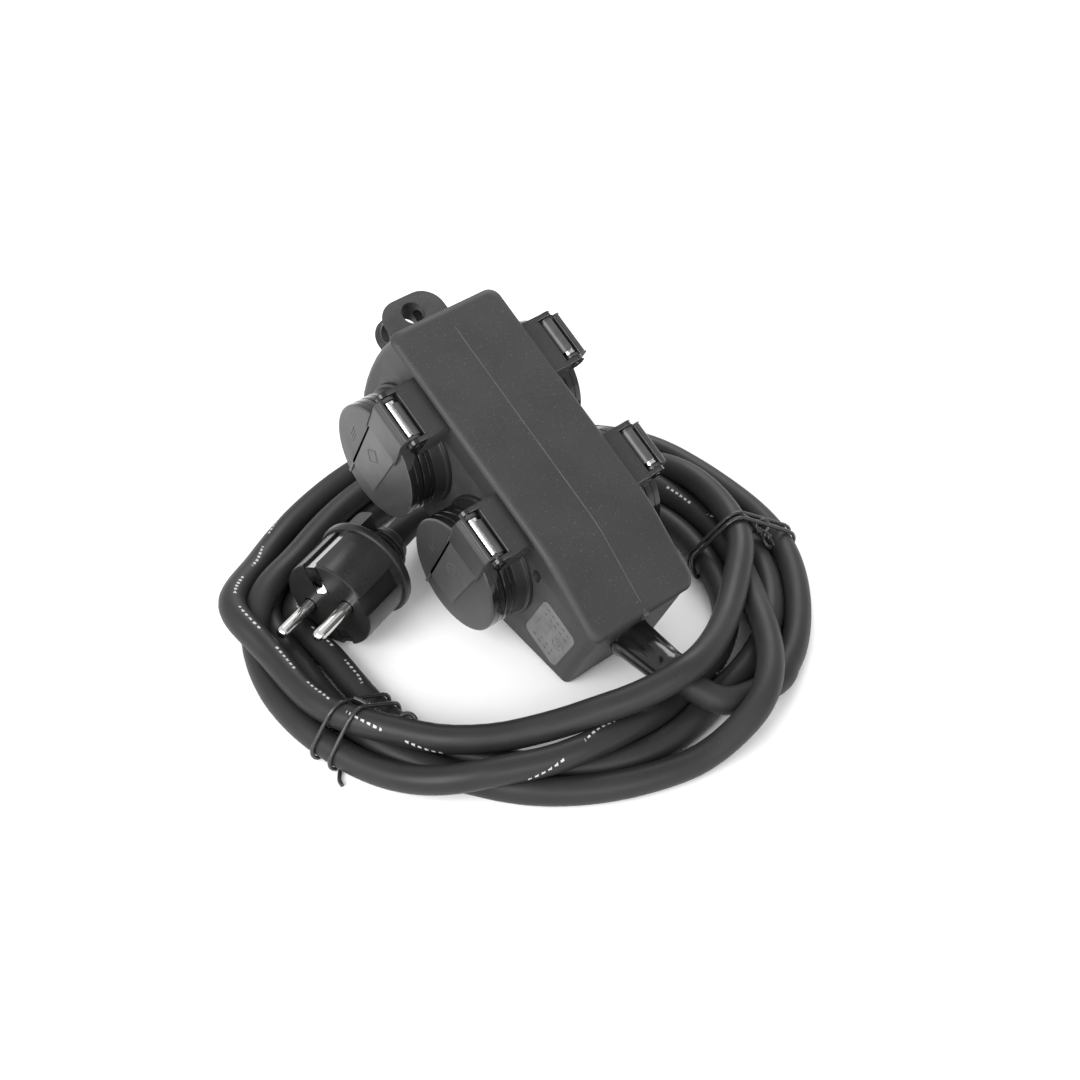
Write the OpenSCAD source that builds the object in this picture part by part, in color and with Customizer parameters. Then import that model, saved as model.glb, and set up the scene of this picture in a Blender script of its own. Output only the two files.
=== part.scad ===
// Portable rubber power distribution box with four lidded earthed sockets,
// a hanging eye, and a coiled lead that ends in an earthed plug.
// Millimetres. +Z is up and z = 0 is the table. The box lies tipped on its nose:
// +Y runs towards the hanging eye and X runs across the box.

/* [Casing] */
// Length of the flat main part of the roof
roof_len = 97.5; // [90:0.5:130]
// Length of the nose part of the roof, which slopes down to the lead
nose_len = 34; // [28:0.5:45]
// How far the nose part of the roof drops, in degrees
nose_drop = 14; // [6:1:20]
// Width over the two lips of the roof
roof_w = 49.2; // [44:0.2:60]
// How far the roof's lip stands out over the side wall
lip_out = 1.3; // [0.6:0.1:2.5]
// Thickness of the roof's lip
lip_t = 2.6; // [1.5:0.1:4]
// Width of the casing at its base
base_w = 45.6; // [41:0.2:56]
// Depth of the casing from roof to base
case_depth = 62; // [58:0.5:75]
// Depth of the end face that the lead leaves through
nose_face = 41.5; // [36:0.5:48]
// Thickness of the moulded rubber walls
wall_t = 4; // [3:0.2:5]
// How far the far end bulges out
end_bulge = 4; // [2:0.2:8]
// Width of the recess for the rating plate
plate_w = 19; // [12:0.5:20]
// Length of the recess for the rating plate
plate_len = 26; // [16:0.5:26]
// How far the box is tipped up on its nose, in degrees
tip_up = 27.5; // [20:0.5:32]

/* [Hanging eye] */
// Width of the hanging eye
eye_w = 24; // [18:0.5:30]
// How far the eye stands out past the end of the roof
eye_out = 17.5; // [14:0.5:24]
// Thickness of the eye
eye_t = 12; // [9:0.5:16]
// How far the eye's upper face is below the roof
eye_drop = 19; // [10:0.5:24]
// Diameter of the hanging hole
eye_hole_d = 9; // [6:0.5:11]
// Diameter of the cross hole
eye_cross_d = 6.5; // [4:0.5:8]

/* [Sockets] */
// Distance from the roof's bend to the first pair of sockets
first_socket = 18.2; // [16:0.2:30]
// Gap between the two barrels on one side
socket_gap = 6.1; // [4:0.1:12]
// Distance from the box's middle to the front of the barrels
barrel_front = 29.6; // [28:0.2:34]
// Length of the ring that carries each lid
ring_len = 4.8; // [3.5:0.1:7]
// Diameter of the socket recess
recess_d = 39; // [38.6:0.1:39.4]
// Depth of the socket recess
recess_depth = 17; // [16:0.1:17.5]
// Wall of the socket cup
cup_wall = 1.3; // [1:0.1:1.6]
// Wall of the barrel around the cup
barrel_wall = 1.9; // [1.6:0.1:3]
// Distance between the two pin holes
pin_pitch = 19; // [19:0.1:19]
// Diameter of the pin holes
pin_hole_d = 5.4; // [5:0.1:6]

/* [Lids] */
// Thickness of a lid
lid_t = 5.7; // [4:0.1:8]
// Gap between a closed lid and its ring
lid_gap = 0.4; // [0.3:0.05:0.8]
// Distance of the hinge axis in front of the ring
hinge_fwd = 2.4; // [2:0.1:4]
// Distance of the hinge axis above the lid's rim
hinge_rise = 6.2; // [5.8:0.1:8]
// Depth of the hinge axis below the roof
hinge_drop = 6.5; // [6.2:0.1:8]
// Diameter of the hinge pin
hinge_pin_d = 2.2; // [1.8:0.1:2.4]
// Outer diameter of the closing spring
spring_d = 5; // [4.4:0.1:5.2]
// Length of the closing spring
spring_len = 15; // [10:0.5:15]
// Width of the hinge block
block_len = 22.6; // [22.6:0.2:26]
// Width of the lid's hinge tongue
tongue_w = 18; // [17.6:0.2:18]
// How far a lid opens, in degrees
lid_opens = 100; // [60:1:100]

/* [Lead] */
// Diameter of the rubber lead
lead_d = 10.4; // [9:0.2:11]
// Length of the strain relief outside the casing
boot_len = 24; // [18:0.5:26]
// Diameter of the strain relief at the casing
boot_d = 17; // [15:0.5:18]
// Inner radius of the coiled lead
coil_in = 74; // [72:1:80]
// Outer radius of the coiled lead
coil_out = 100.5; // [98:0.5:106]
// Height of the coiled lead
coil_h = 24; // [18:0.5:26]
// Thickness of the wire ties
tie_d = 1.6; // [1.2:0.1:2.5]

/* [Plug] */
// Diameter of the plug's front part
plug_d = 37; // [36:0.2:38]
// Length of the plug's front part
plug_len = 21.5; // [18:0.5:24]
// Diameter of the plug's grip flange
flange_d = 40; // [38:0.5:41]
// Length of a plug pin
pin_len = 19; // [18.5:0.1:19.5]
// Diameter of a plug pin
pin_d = 4.8; // [4.6:0.1:5]
// How far the plug is rolled, in degrees
plug_roll = 24; // [0:1:40]

/* [Hidden] */
$fn = 64;

rubber = [0.20, 0.20, 0.21];
dark = [0.10, 0.10, 0.11];
metal = [0.72, 0.72, 0.74];
yellow_metal = [0.78, 0.62, 0.30];

// side outline of the casing, as [y, z] in the box's own frame
nose_y = -nose_len*cos(nose_drop);
nose_z = -nose_len*sin(nose_drop);
toe_y = nose_y - 2.4;
toe_z = nose_z - nose_face;
far_y = roof_len;
base_z = -case_depth;
function turn(a, b, c) =
  let (u = (a - b)/norm(a - b), v = (c - b)/norm(c - b), h = acos(u*v)/2)
  [u, v, h];
// a corner b between a and c, rounded with radius r in n steps
function fillet(a, b, c, r, n = 6) =
  let (t = turn(a, b, c), m = (t[0] + t[1])/norm(t[0] + t[1]), o = b + m*r/sin(t[2]),
       p = b + t[0]*r/tan(t[2]), q = b + t[1]*r/tan(t[2]),
       a0 = atan2(p[1] - o[1], p[0] - o[0]), a1 = atan2(q[1] - o[1], q[0] - o[0]),
       d = a1 - a0 > 180 ? a1 - a0 - 360 : (a1 - a0 < -180 ? a1 - a0 + 360 : a1 - a0))
  [for (i = [0:n]) o + r*[cos(a0 + d*i/n), sin(a0 + d*i/n)]];
// outline through corners [y, z, radius]
function rounded(c) = [for (i = [0:len(c) - 1])
  let (l = len(c), a = c[(i + l - 1)%l], b = c[i], d = c[(i + 1)%l])
  each (b[2] > 0 ? fillet([a[0], a[1]], [b[0], b[1]], [d[0], d[1]], b[2]) : [[b[0], b[1]]])];
function side_corners(t) = [
  [nose_y + t, nose_z - t*1.15, 0],
  [0, -t, 0],
  [far_y - t, -t, 0],
  [far_y + end_bulge*0.8 - t, -16, 0],
  [far_y + end_bulge - t, -30, 0],
  [far_y + end_bulge*0.6 - t, base_z + 13, 0],
  [far_y - 1.5 - t, base_z + t, t > 0 ? 3 : 8],
  [0, base_z + t, 0],
  [toe_y + t*1.05, toe_z + t*0.95, t > 0 ? 1 : 3]];
side_outline = rounded(side_corners(0));

// how the box sits: tipped about X, lowest point on the table, middle at y = 0
face_mid = [(nose_y + toe_y)/2, (nose_z + toe_z)/2];
function up(p) = p[0]*sin(tip_up) + p[1]*cos(tip_up);
function along(p) = p[0]*cos(tip_up) - p[1]*sin(tip_up);
seat_h = -min([for (p = side_outline) up(p)]);
y_hi = max(max([for (p = side_outline) along(p)]), along([far_y + eye_out, -eye_drop - eye_t]));
y_lo = along(face_mid) - boot_len - 1;
seat_y = -(y_lo + y_hi)/2;
boot_end = [0, y_lo + seat_y, seat_h + up(face_mid)];

cup_d = recess_d + 2*cup_wall;
barrel_d = cup_d + 2*barrel_wall;
socket_pitch = barrel_d + socket_gap;
socket_drop = hinge_drop + hinge_rise + barrel_d/2;
socket_y = [first_socket, first_socket + socket_pitch, first_socket, first_socket + socket_pitch];
socket_turn = [0, 0, 180, 180];
ring_front = barrel_front + ring_len;
hinge_out = ring_front + hinge_fwd;
lid_back = ring_front + lid_gap;
lid_front = lid_back + lid_t;
cup_back = ring_front - recess_depth - 2;
clip_r = recess_d/2 - 1.6;
tongue_gap = 0.3;
pin_gap = 0.05;

module in_box() {
  translate([0, seat_y, seat_h]) rotate([tip_up, 0, 0]) children();
}
// child drawn for the +X side, turned to its own side of the box
module at_socket(i) {
  in_box() translate([0, socket_y[i], 0]) rotate([0, 0, socket_turn[i]]) children();
}
// a cylinder along +X with its axis at socket height
module xcyl(x0, x1, d, y = 0, z = -socket_drop) {
  translate([x0, y, z]) rotate([0, 90, 0]) cylinder(h = x1 - x0, d = d);
}
// a cylinder along Y about the hinge axis
module hcyl(y0, y1, d) {
  translate([hinge_out, y0, -hinge_drop]) rotate([-90, 0, 0]) cylinder(h = y1 - y0, d = d);
}
// a prism along Y from an [x, z] outline
module along_y(y0, y1, pts) {
  translate([0, y1, 0]) rotate([90, 0, 0]) linear_extrude(y1 - y0) polygon(pts);
}
// a prism along X from a [y, z] outline
module along_x(x0, x1, pts) {
  translate([x0, 0, 0]) rotate([90, 0, 90]) linear_extrude(x1 - x0) polygon(pts);
}
module rounded_box(size, r) {
  linear_extrude(size[2]) {
    translate([r, 0]) square([size[0] - 2*r, size[1]]);
    translate([0, r]) square([size[0], size[1] - 2*r]);
    for (x = [r, size[0] - r], y = [r, size[1] - r]) translate([x, y]) circle(r = r);
  }
}

module casing_walls() {
  intersection() {
    along_x(-roof_w/2, roof_w/2, side_outline);
    along_y(-80, far_y + 40, [
      [-roof_w/2 + lip_out, 1], [roof_w/2 - lip_out, 1],
      [base_w/2, base_z - 1], [-base_w/2, base_z - 1]]);
  }
}
module casing_roof() {
  intersection() {
    along_x(-roof_w/2, roof_w/2, [
      [nose_y - 0.6, nose_z - 0.1], [0, 0], [far_y + 0.6, 0],
      [far_y + 0.9, -lip_t], [-0.3, -lip_t], [nose_y - 1, nose_z - lip_t]]);
    translate([-roof_w/2, nose_y - 1.2, -40])
      rounded_box([roof_w, far_y - nose_y + 2.2, 50], 3);
  }
}
module casing_eye() {
  translate([-eye_w/2, far_y - 4, -eye_drop - eye_t]) rounded_box([eye_w, eye_out + 4, eye_t], 7);
  translate([-eye_w/2, far_y - 4, -eye_drop - eye_t]) cube([eye_w, 12, eye_t]);
}
eye_hole_y = far_y + eye_out - 6;
cavity_x = base_w/2 - wall_t;
cover_y0 = 2;
cover_y1 = far_y - 5;
cover_x = cavity_x + 1.7;
screw_y = [7, first_socket + socket_pitch/2, far_y - 9];
screw_x = 11.2;
plate_pos = [toe_y + 7.5, -21];

module casing_shape() {
  difference() {
    union() {
      difference() {
        union() {
          casing_walls();
          casing_roof();
          casing_eye();
        }
        // inside of the casing
        along_x(-cavity_x, cavity_x, rounded(side_corners(wall_t + 0.6)));
        // opening and seat for the base cover
        translate([-cavity_x, cover_y0 + 1.7, base_z - 1])
          cube([2*cavity_x, cover_y1 - cover_y0 - 3.4, wall_t + 6]);
        translate([-cover_x, cover_y0, base_z - 1])
          rounded_box([2*cover_x, cover_y1 - cover_y0, wall_t + 2], 3);
      }
      // screw posts with ribs to the side walls
      for (y = screw_y, s = [-1, 1]) {
        translate([s*screw_x, y, base_z + wall_t + 1]) cylinder(h = 8, d = 6.4);
        translate([s > 0 ? screw_x : -cavity_x - 1, y - 1.2, base_z + wall_t + 1])
          cube([cavity_x + 1 - screw_x, 2.4, 1.8]);
      }
      // shelf that the lead's clamp is screwed to
      translate([-cavity_x - 1, nose_y + wall_t, face_mid[1] - 14]) cube([2*cavity_x + 2, 15, 4]);
    }
    for (y = screw_y, s = [-1, 1])
      translate([s*screw_x, y, base_z]) cylinder(h = wall_t + 8, d = 2.6, $fn = 32);
    for (i = [0:3]) translate([0, socket_y[i], 0]) rotate([0, 0, socket_turn[i]])
      xcyl(cavity_x - 5, roof_w, barrel_d);
    // hanging hole and the cross hole through the eye
    translate([0, eye_hole_y, -eye_drop - eye_t - 1]) cylinder(h = eye_t + 2, d = eye_hole_d);
    translate([-eye_w/2 - 1, eye_hole_y - 0.5, -eye_drop - eye_t/2])
      rotate([0, 90, 0]) cylinder(h = eye_w + 2, d = eye_cross_d);
    // small vent beside the plate, and the recess that holds the plate
    translate([-roof_w, -1.2, -15.5]) rotate([0, 90, 0]) cylinder(h = roof_w - 18, d = 4);
    translate([-roof_w, -1.2, -17.5]) rotate([0, 90, 0]) cylinder(h = roof_w - 18, d = 4);
    plate_space(0);
    // way out for the lead
    translate([0, face_mid[0], face_mid[1]]) rotate([90 - tip_up, 0, 0])
      translate([0, 0, -14]) cylinder(h = 40, d = boot_d - 2);
    for (s = [-1, 1]) translate([s*9.5, nose_y + wall_t + 7.5, face_mid[1] - 15])
      cylinder(h = 6, d = 2.4, $fn = 32);
  }
}
// middle of a side wall, round its two sockets; s is 1 or -1
module side_space(s) {
  mirror([s < 0 ? 1 : 0, 0, 0]) translate([cavity_x, cover_y0, base_z + wall_t + 2])
    cube([roof_w, far_y - 5.5 - cover_y0, -base_z - wall_t - 6.5]);
}
module casing() {
  color(rubber) in_box() difference() {
    casing_shape();
    side_space(1);
    side_space(-1);
  }
}
module casing_side(s) {
  color(rubber) in_box() intersection() {
    casing_shape();
    side_space(s);
  }
}
// one socket's barrel, bonded into the side wall, with a flange over the wall's face
module barrel(i) {
  color(rubber) at_socket(i) difference() {
    union() {
      xcyl(cavity_x, barrel_front, barrel_d);
      xcyl(roof_w/2 - lip_out + 0.02, roof_w/2 - lip_out + flange_t, barrel_d + 2.6);
    }
    xcyl(cavity_x - 1, barrel_front + 1, cup_d);
    xcyl(barrel_front - 1.2, barrel_front + 1, cup_d + 1.6);
    // seat of the base cover
    translate([0, -50, base_z - 1]) cube([cover_x, 100, wall_t + 2]);
  }
}
flange_t = 1.3;
module plate_space(gap) {
  translate([-base_w/2 - 2.2, plate_pos[0] + gap, plate_pos[1] - plate_len + gap])
    rotate([90, 0, 90]) rounded_box([plate_w - 2*gap, plate_len - 2*gap, 2.4], 3);
}
module rating_plate() {
  color([0.34, 0.34, 0.35]) in_box() intersection() {
    plate_space(0.1);
    translate([-base_w/2 - 0.35, -200, -200]) cube([4, 400, 400]);
  }
}
module base_cover() {
  color(dark) in_box() difference() {
    translate([-cover_x + 0.2, cover_y0 + 0.2, base_z])
      rounded_box([2*cover_x - 0.4, cover_y1 - cover_y0 - 0.4, wall_t], 3);
    for (y = screw_y, s = [-1, 1]) translate([s*screw_x, y, 0]) {
      translate([0, 0, base_z - 1]) cylinder(h = wall_t + 2, d = 3.4, $fn = 32);
      translate([0, 0, base_z - 1]) cylinder(h = 3, d = 6.2, $fn = 32);
    }
  }
}
module base_seal() {
  color([0.3, 0.3, 0.3]) in_box() difference() {
    translate([-cover_x + 0.2, cover_y0 + 0.2, base_z + wall_t])
      rounded_box([2*cover_x - 0.4, cover_y1 - cover_y0 - 0.4, 1], 3);
    translate([-cavity_x, cover_y0 + 1.7, base_z]) cube([2*cavity_x, cover_y1 - cover_y0 - 3.4, 9]);
  }
}
module base_screws() {
  color(metal) in_box() for (y = screw_y, s = [-1, 1]) translate([s*screw_x, y, 0]) {
    translate([0, 0, base_z + 0.4]) difference() {
      cylinder(h = 1.6, d = 5.8, $fn = 32);
      translate([-0.4, -3, -1]) cube([0.8, 6, 1.7]);
    }
    translate([0, 0, base_z + 1.9]) cylinder(h = 9, d = 2.6, $fn = 32);
  }
}

// a bar along the box that joins the contacts of all four sockets
module bar(dy, z) {
  for (y = [first_socket, first_socket + socket_pitch]) {
    translate([-cup_back + 7.4, y + dy - 2, -socket_drop - 2]) cube([2*(cup_back - 7.4), 4, 4]);
    translate([-1, y + dy - 2, min(z, -socket_drop)]) cube([2, 4, abs(z + socket_drop) + 1]);
  }
  translate([-1, first_socket + dy - 2, z]) cube([2, socket_pitch + 4, 3]);
}
module phase_bar() {
  color(yellow_metal) in_box() bar(pin_pitch/2, -socket_drop + 8);
}
module neutral_bar() {
  color(yellow_metal) in_box() bar(-pin_pitch/2, -socket_drop - 11);
}
module earth_bar() {
  color(yellow_metal) in_box() {
    for (y = [first_socket, first_socket + socket_pitch])
      translate([-cup_back + 0.8, y - 2, -socket_drop - clip_r + 0.5]) cube([2*(cup_back - 0.8), 4, 2]);
    translate([-1, first_socket - 2, -socket_drop - clip_r + 0.5]) cube([2, socket_pitch + 4, 2]);
  }
}
module rod(a, b, d) {
  v = b - a;
  translate(a) rotate([0, acos(v[2]/norm(v)), atan2(v[1], v[0])]) cylinder(h = norm(v), d = d, $fn = 24);
}
module wire(pts, d) {
  for (i = [0:len(pts) - 2]) rod(pts[i], pts[i + 1], d);
  for (i = [1:len(pts) - 2]) translate(pts[i]) sphere(d = d, $fn = 24);
}
core_y = face_mid[0] + 19;
module phase_wire() {
  color([0.36, 0.22, 0.14]) in_box() wire([
    [2.2, core_y, face_mid[1] + 5], [2.2, core_y + 8, -socket_drop + 9.5],
    [2.2, first_socket + pin_pitch/2 + 1, -socket_drop + 9.5]], 2.4);
}
module neutral_wire() {
  color([0.16, 0.28, 0.55]) in_box() wire([
    [-2.5, core_y, face_mid[1] + 3], [-2.3, core_y + 6, -socket_drop - 5],
    [-2.2, first_socket - pin_pitch/2 + 1, -socket_drop - 9.5]], 2.4);
}
module earth_wire() {
  color([0.40, 0.55, 0.16]) in_box() wire([
    [2.3, core_y, face_mid[1] + 1], [2.2, core_y + 8, -socket_drop - 12],
    [2.1, first_socket - 1.1, -socket_drop - clip_r + 1.55]], 2.4);
}
module cord_clamp() {
  color(dark) in_box() difference() {
    translate([-13, nose_y + wall_t + 3, face_mid[1] - 10]) cube([26, 9, 4.4]);
    translate([0, face_mid[0], face_mid[1]]) rotate([90 - tip_up, 0, 0])
      translate([0, 0, -40]) cylinder(h = 60, d = lead_d + 0.2);
    for (s = [-1, 1]) translate([s*9.5, nose_y + wall_t + 7.5, face_mid[1] - 12])
      cylinder(h = 10, d = 2.8, $fn = 32);
  }
}
module clamp_screws() {
  color(metal) in_box() for (s = [-1, 1]) translate([s*9.5, nose_y + wall_t + 7.5, 0]) {
    translate([0, 0, face_mid[1] - 13.5]) cylinder(h = 9, d = 2.4, $fn = 32);
    translate([0, 0, face_mid[1] - 5.6]) cylinder(h = 2, d = 5, $fn = 32);
  }
}
// strain relief: a collar behind the wall and a tapering sleeve in front of it
module cord_boot() {
  color(dark) translate([0, boot_end[1], boot_end[2]]) rotate([-90, 0, 0]) difference() {
    union() {
      cylinder(h = boot_len + 1, d1 = lead_d + 3.2, d2 = boot_d - 2);
      translate([0, 0, boot_len]) cylinder(h = 10, d = boot_d - 2);
    }
    translate([0, 0, -1]) cylinder(h = boot_len + 20, d = lead_d);
    for (i = [0:2]) for (s = [0, 180]) rotate([0, 0, s])
      translate([-9, lead_d/2 + 1.2, 4 + i*5]) cube([18, 9, 2]);
  }
}

// ring that carries one lid: a collar on the barrel and the block of the hinge
module ring_shape() {
  difference() {
    union() {
      xcyl(barrel_front, ring_front, barrel_d);
      difference() {
        along_y(-block_len/2, block_len/2, [
          [roof_w/2 - lip_out + 0.2, -4], [hinge_out - 3.4, -4], [hinge_out - 3.4, -hinge_drop - 4],
          [ring_front, -hinge_drop - 5.6], [ring_front, -hinge_drop - 12],
          [roof_w/2 - lip_out + 0.2, -hinge_drop - 12]]);
        xcyl(0, barrel_front, barrel_d + 0.2);
        xcyl(0, cavity_x + wall_t + 2, barrel_d + 3);
      }
      // cheeks that hold the hinge pin
      for (s = [-1, 1]) translate([0, s*(block_len/4 + tongue_w/4 + tongue_gap/2), 0]) {
        hcyl(-cheek_w/2, cheek_w/2, 6.4);
        along_y(-cheek_w/2, cheek_w/2, [
          [hinge_out - 4, -4], [hinge_out, -hinge_drop + 3.2], [hinge_out, -hinge_drop - 3.2],
          [hinge_out - 4, -hinge_drop - 4]]);
      }
    }
    xcyl(0, ring_front + 1, cup_d);
    hcyl(-block_len, block_len, hinge_pin_d);
    // clear space around the spring and the tongue's knuckles
    hcyl(-tongue_w/2 - tongue_gap, tongue_w/2 + tongue_gap, 6.6);
  }
}
cheek_w = (block_len - tongue_w)/2 - tongue_gap;
module socket_ring(i) {
  color(dark) at_socket(i) ring_shape();
}
module socket_cup(i) {
  color(dark) at_socket(i) difference() {
    union() {
      xcyl(cup_back, ring_front, cup_d);
      xcyl(barrel_front - 1.2, barrel_front, cup_d + 1.6);
    }
    xcyl(cup_back + 2, ring_front + 1, recess_d);
    for (s = [-1, 1]) xcyl(0, cup_back + 4, pin_hole_d, s*pin_pitch/2);
    // slots for the earth clips
    for (s = [-1, 1]) translate([cup_back - 1, -2.6, -socket_drop + s*clip_r - 1.1]) cube([4, 5.2, 2.2]);
  }
}
// two sprung earth contacts joined by a strap behind the cup
module earth_clip(i) {
  color(metal) at_socket(i) {
    translate([cup_back - 0.8, -2.4, -socket_drop - clip_r - 0.9]) cube([0.8, 4.8, 2*clip_r + 1.8]);
    for (s = [-1, 1]) translate([cup_back - 0.8, -2.4, -socket_drop + s*clip_r - 0.5]) cube([14, 4.8, 1]);
    for (s = [-1, 1]) translate([cup_back + 13.2, 0, -socket_drop + s*(clip_r - 0.3)])
      rotate([90, 0, 0]) translate([0, 0, -2.4]) cylinder(h = 4.8, d = 2, $fn = 32);
  }
}
// the two sleeves that grip a plug's pins
module contacts(i) {
  color(yellow_metal) at_socket(i) for (s = [-1, 1]) difference() {
    xcyl(cup_back - 7.4, cup_back, 7.6, s*pin_pitch/2);
    xcyl(cup_back - 6.4, cup_back + 1, 4.9, s*pin_pitch/2);
  }
}
module lid(i) {
  color(rubber) at_socket(i) difference() {
    union() {
      xcyl(lid_back, lid_front, barrel_d);
      // neck and hinge tongue
      along_y(-tongue_w/2, tongue_w/2, [
        [lid_back, -22], [lid_back + 0.3, -hinge_drop - 6], [hinge_out + 1.2, -hinge_drop - 3.6],
        [hinge_out + 2.85, -hinge_drop - 1.4], [hinge_out + 2.85, -hinge_drop + 2.4],
        [hinge_out + 4.6, -hinge_drop + 2.6], [hinge_out + 6, -hinge_drop + 0.8],
        [hinge_out + 5.2, -hinge_drop - 5.5], [lid_front + 0.6, -22]]);
      for (s = [-1, 1]) translate([0, s*(tongue_w/2 - 0.6), 0]) {
        hcyl(-0.6, 0.6, 5.8);
        along_y(-0.6, 0.6, [
          [hinge_out, -hinge_drop - 2.9], [hinge_out + 3.2, -hinge_drop - 2.9],
          [hinge_out + 3.2, -hinge_drop + 1.6], [hinge_out, -hinge_drop + 1.6]]);
      }
    }
    hcyl(-block_len, block_len, hinge_pin_d + 2*pin_gap);
  }
}
module lid_seal(i) {
  color([0.3, 0.3, 0.3]) at_socket(i) difference() {
    xcyl(lid_back - 1.4, lid_back, recess_d - 1);
    xcyl(lid_back - 3, lid_back + 1, recess_d - 5);
  }
}
module hinge_pin(i) {
  color(metal) at_socket(i) hcyl(-block_len/2, block_len/2, hinge_pin_d);
}
module spring(i) {
  color(metal) at_socket(i) {
    difference() {
      hcyl(-spring_len/2, spring_len/2, spring_d);
      hcyl(-spring_len, spring_len, hinge_pin_d + 0.1);
    }
    translate([hinge_out - 3.4, -spring_len/2 + 0.4, -hinge_drop - 2.4]) cube([2.2, 1, 1]);
  }
}

// the coiled lead: outer shape of all its turns
coil_mid = [-8, boot_end[1] + 70.13];
module cord_coil() {
  color([0.25, 0.25, 0.26]) translate([coil_mid[0], coil_mid[1], 0]) rotate_extrude($fn = 96)
    polygon([[coil_in + 1, 0], [coil_out - 1.5, 0], [coil_out, 5.2], [coil_out - 2, 12],
      [coil_out - 8, coil_h - 3], [coil_out - 13, coil_h], [coil_in + 10, coil_h],
      [coil_in + 3, coil_h - 6], [coil_in, 6]]);
}
// a round tube swept through points, with rings square to the path
function unit(v) = v/norm(v);
function tangent(p, i) = unit(p[min(i + 1, len(p) - 1)] - p[max(i - 1, 0)]);
function side_of(t) = abs(t[2]) > 0.9 ? unit(cross([1, 0, 0], t)) : unit(cross([0, 0, 1], t));
function spline(p, i, t) =
  let (a = p[max(i - 1, 0)], b = p[i], c = p[i + 1], d = p[min(i + 2, len(p) - 1)])
  0.5*(2*b + (c - a)*t + (2*a - 5*b + 4*c - d)*t*t + (3*b - a - 3*c + d)*t*t*t);
function smooth(p, n) = [
  for (i = [0:len(p) - 2], j = [0:n - 1]) spline(p, i, j/n), p[len(p) - 1]];
module tube(path, d, sides) {
  rings = [for (i = [0:len(path) - 1])
    let (t = tangent(path, i), u = side_of(t), v = cross(t, u))
    for (k = [0:sides - 1]) path[i] + d/2*(u*cos(360*k/sides) + v*sin(360*k/sides))];
  n = len(path);
  polyhedron(points = rings, faces = concat(
    [[for (k = [0:sides - 1]) k]],
    [for (i = [0:n - 2], k = [0:sides - 1])
      let (a = i*sides + k, b = i*sides + (k + 1)%sides) each [[a, a + sides, b], [a + sides, b + sides, b]]],
    [[for (k = [sides - 1:-1:0]) (n - 1)*sides + k]]), convexity = 6);
}
// from the inner end of the strain relief to the coil
tail_points = [for (p = [[0, 33, 0], [0, 19, 0], [0, 7, 0], [0, -1, 0], [3, -9, -1.6], [12, -16, -5.6]])
  boot_end + p];
// from the coil, under the box, to the back of the plug
plug_points = [[38, 58, 7], [22, 60, 7], [4, 57, 9], [-12, 50, 13], [-24, 45, 17], [-33, 41, 19]];
module cord_tail() {
  color([0.25, 0.25, 0.26]) tube(smooth(tail_points, 3), lead_d - 0.2, 12);
}
module plug_lead() {
  color([0.25, 0.25, 0.26]) tube(smooth(plug_points, 3), lead_d - 0.2, 12);
}

// the plug: its face is at plug_at and its pins point along plug_yaw
plug_at = [-74.9, 26.4, 20.2];
plug_yaw = 198.5;
module at_plug() {
  translate(plug_at) rotate([0, 0, plug_yaw]) rotate([plug_roll, 0, 0]) children();
}
grip_len = 15;
module plug_cyl(x0, x1, d, y = 0, z = 0) {
  translate([x0, y, z]) rotate([0, 90, 0]) cylinder(h = x1 - x0, d = d);
}
module plug_body() {
  color(dark) at_plug() difference() {
    union() {
      plug_cyl(-plug_len, 0, plug_d);
      plug_cyl(-plug_len - 3.4, -plug_len, flange_d);
      translate([-plug_len - 3.4, 0, 0]) rotate([0, -90, 0])
        cylinder(h = grip_len, d1 = 24, d2 = lead_d + 5);
      translate([-plug_len - 13, -3, 0]) cube([10, 6, 17]);
    }
    // channels for the earth contacts, flats for the socket's guides
    for (s = [-1, 1]) translate([-plug_len, -2.8, s > 0 ? plug_d/2 - 2.2 : -plug_d/2 - 2])
      cube([plug_len + 1, 5.6, 4.2]);
    for (s = [-1, 1]) translate([-plug_len + 3, s > 0 ? plug_d/2 - 1.6 : -plug_d/2 - 1.4, -4])
      cube([plug_len, 3, 8]);
    for (s = [-1, 1]) plug_cyl(-12, 1, pin_d, s*pin_pitch/2);
    plug_cyl(-9, 1, 4.8, 0, 10.2);
    translate([-1.2, -3.4, 5.2]) cube([3, 6.8, 14]);
    plug_cyl(-60, -plug_len - 8, lead_d);
  }
}
module plug_pins() {
  color(metal) at_plug() for (s = [-1, 1]) {
    plug_cyl(-12, pin_len - 1.6, pin_d, s*pin_pitch/2);
    translate([pin_len - 1.6, s*pin_pitch/2, 0]) rotate([0, 90, 0])
      cylinder(h = 1.6, d1 = pin_d, d2 = pin_d - 2);
  }
}
// earth strip across the face and along both channels, with the socket pin's hole
module plug_earth() {
  color(metal) at_plug() {
    difference() {
      translate([-1.2, -2.7, 5.4]) cube([1.2, 5.4, plug_d/2 - 7.6]);
      plug_cyl(-3, 2, 4.6, 0, 10.2);
    }
    for (s = [-1, 1]) translate([-plug_len, -2.4, s > 0 ? plug_d/2 - 2.2 : -plug_d/2 + 1.2])
      cube([plug_len - (s > 0 ? 0 : 1), 4.8, 1]);
  }
}
module plug_screw() {
  color(metal) at_plug() difference() {
    plug_cyl(-9, -8, 4.8, 0, 10.2);
    plug_cyl(-9.5, -7, 3, 0, 10.2);
  }
}
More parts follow.
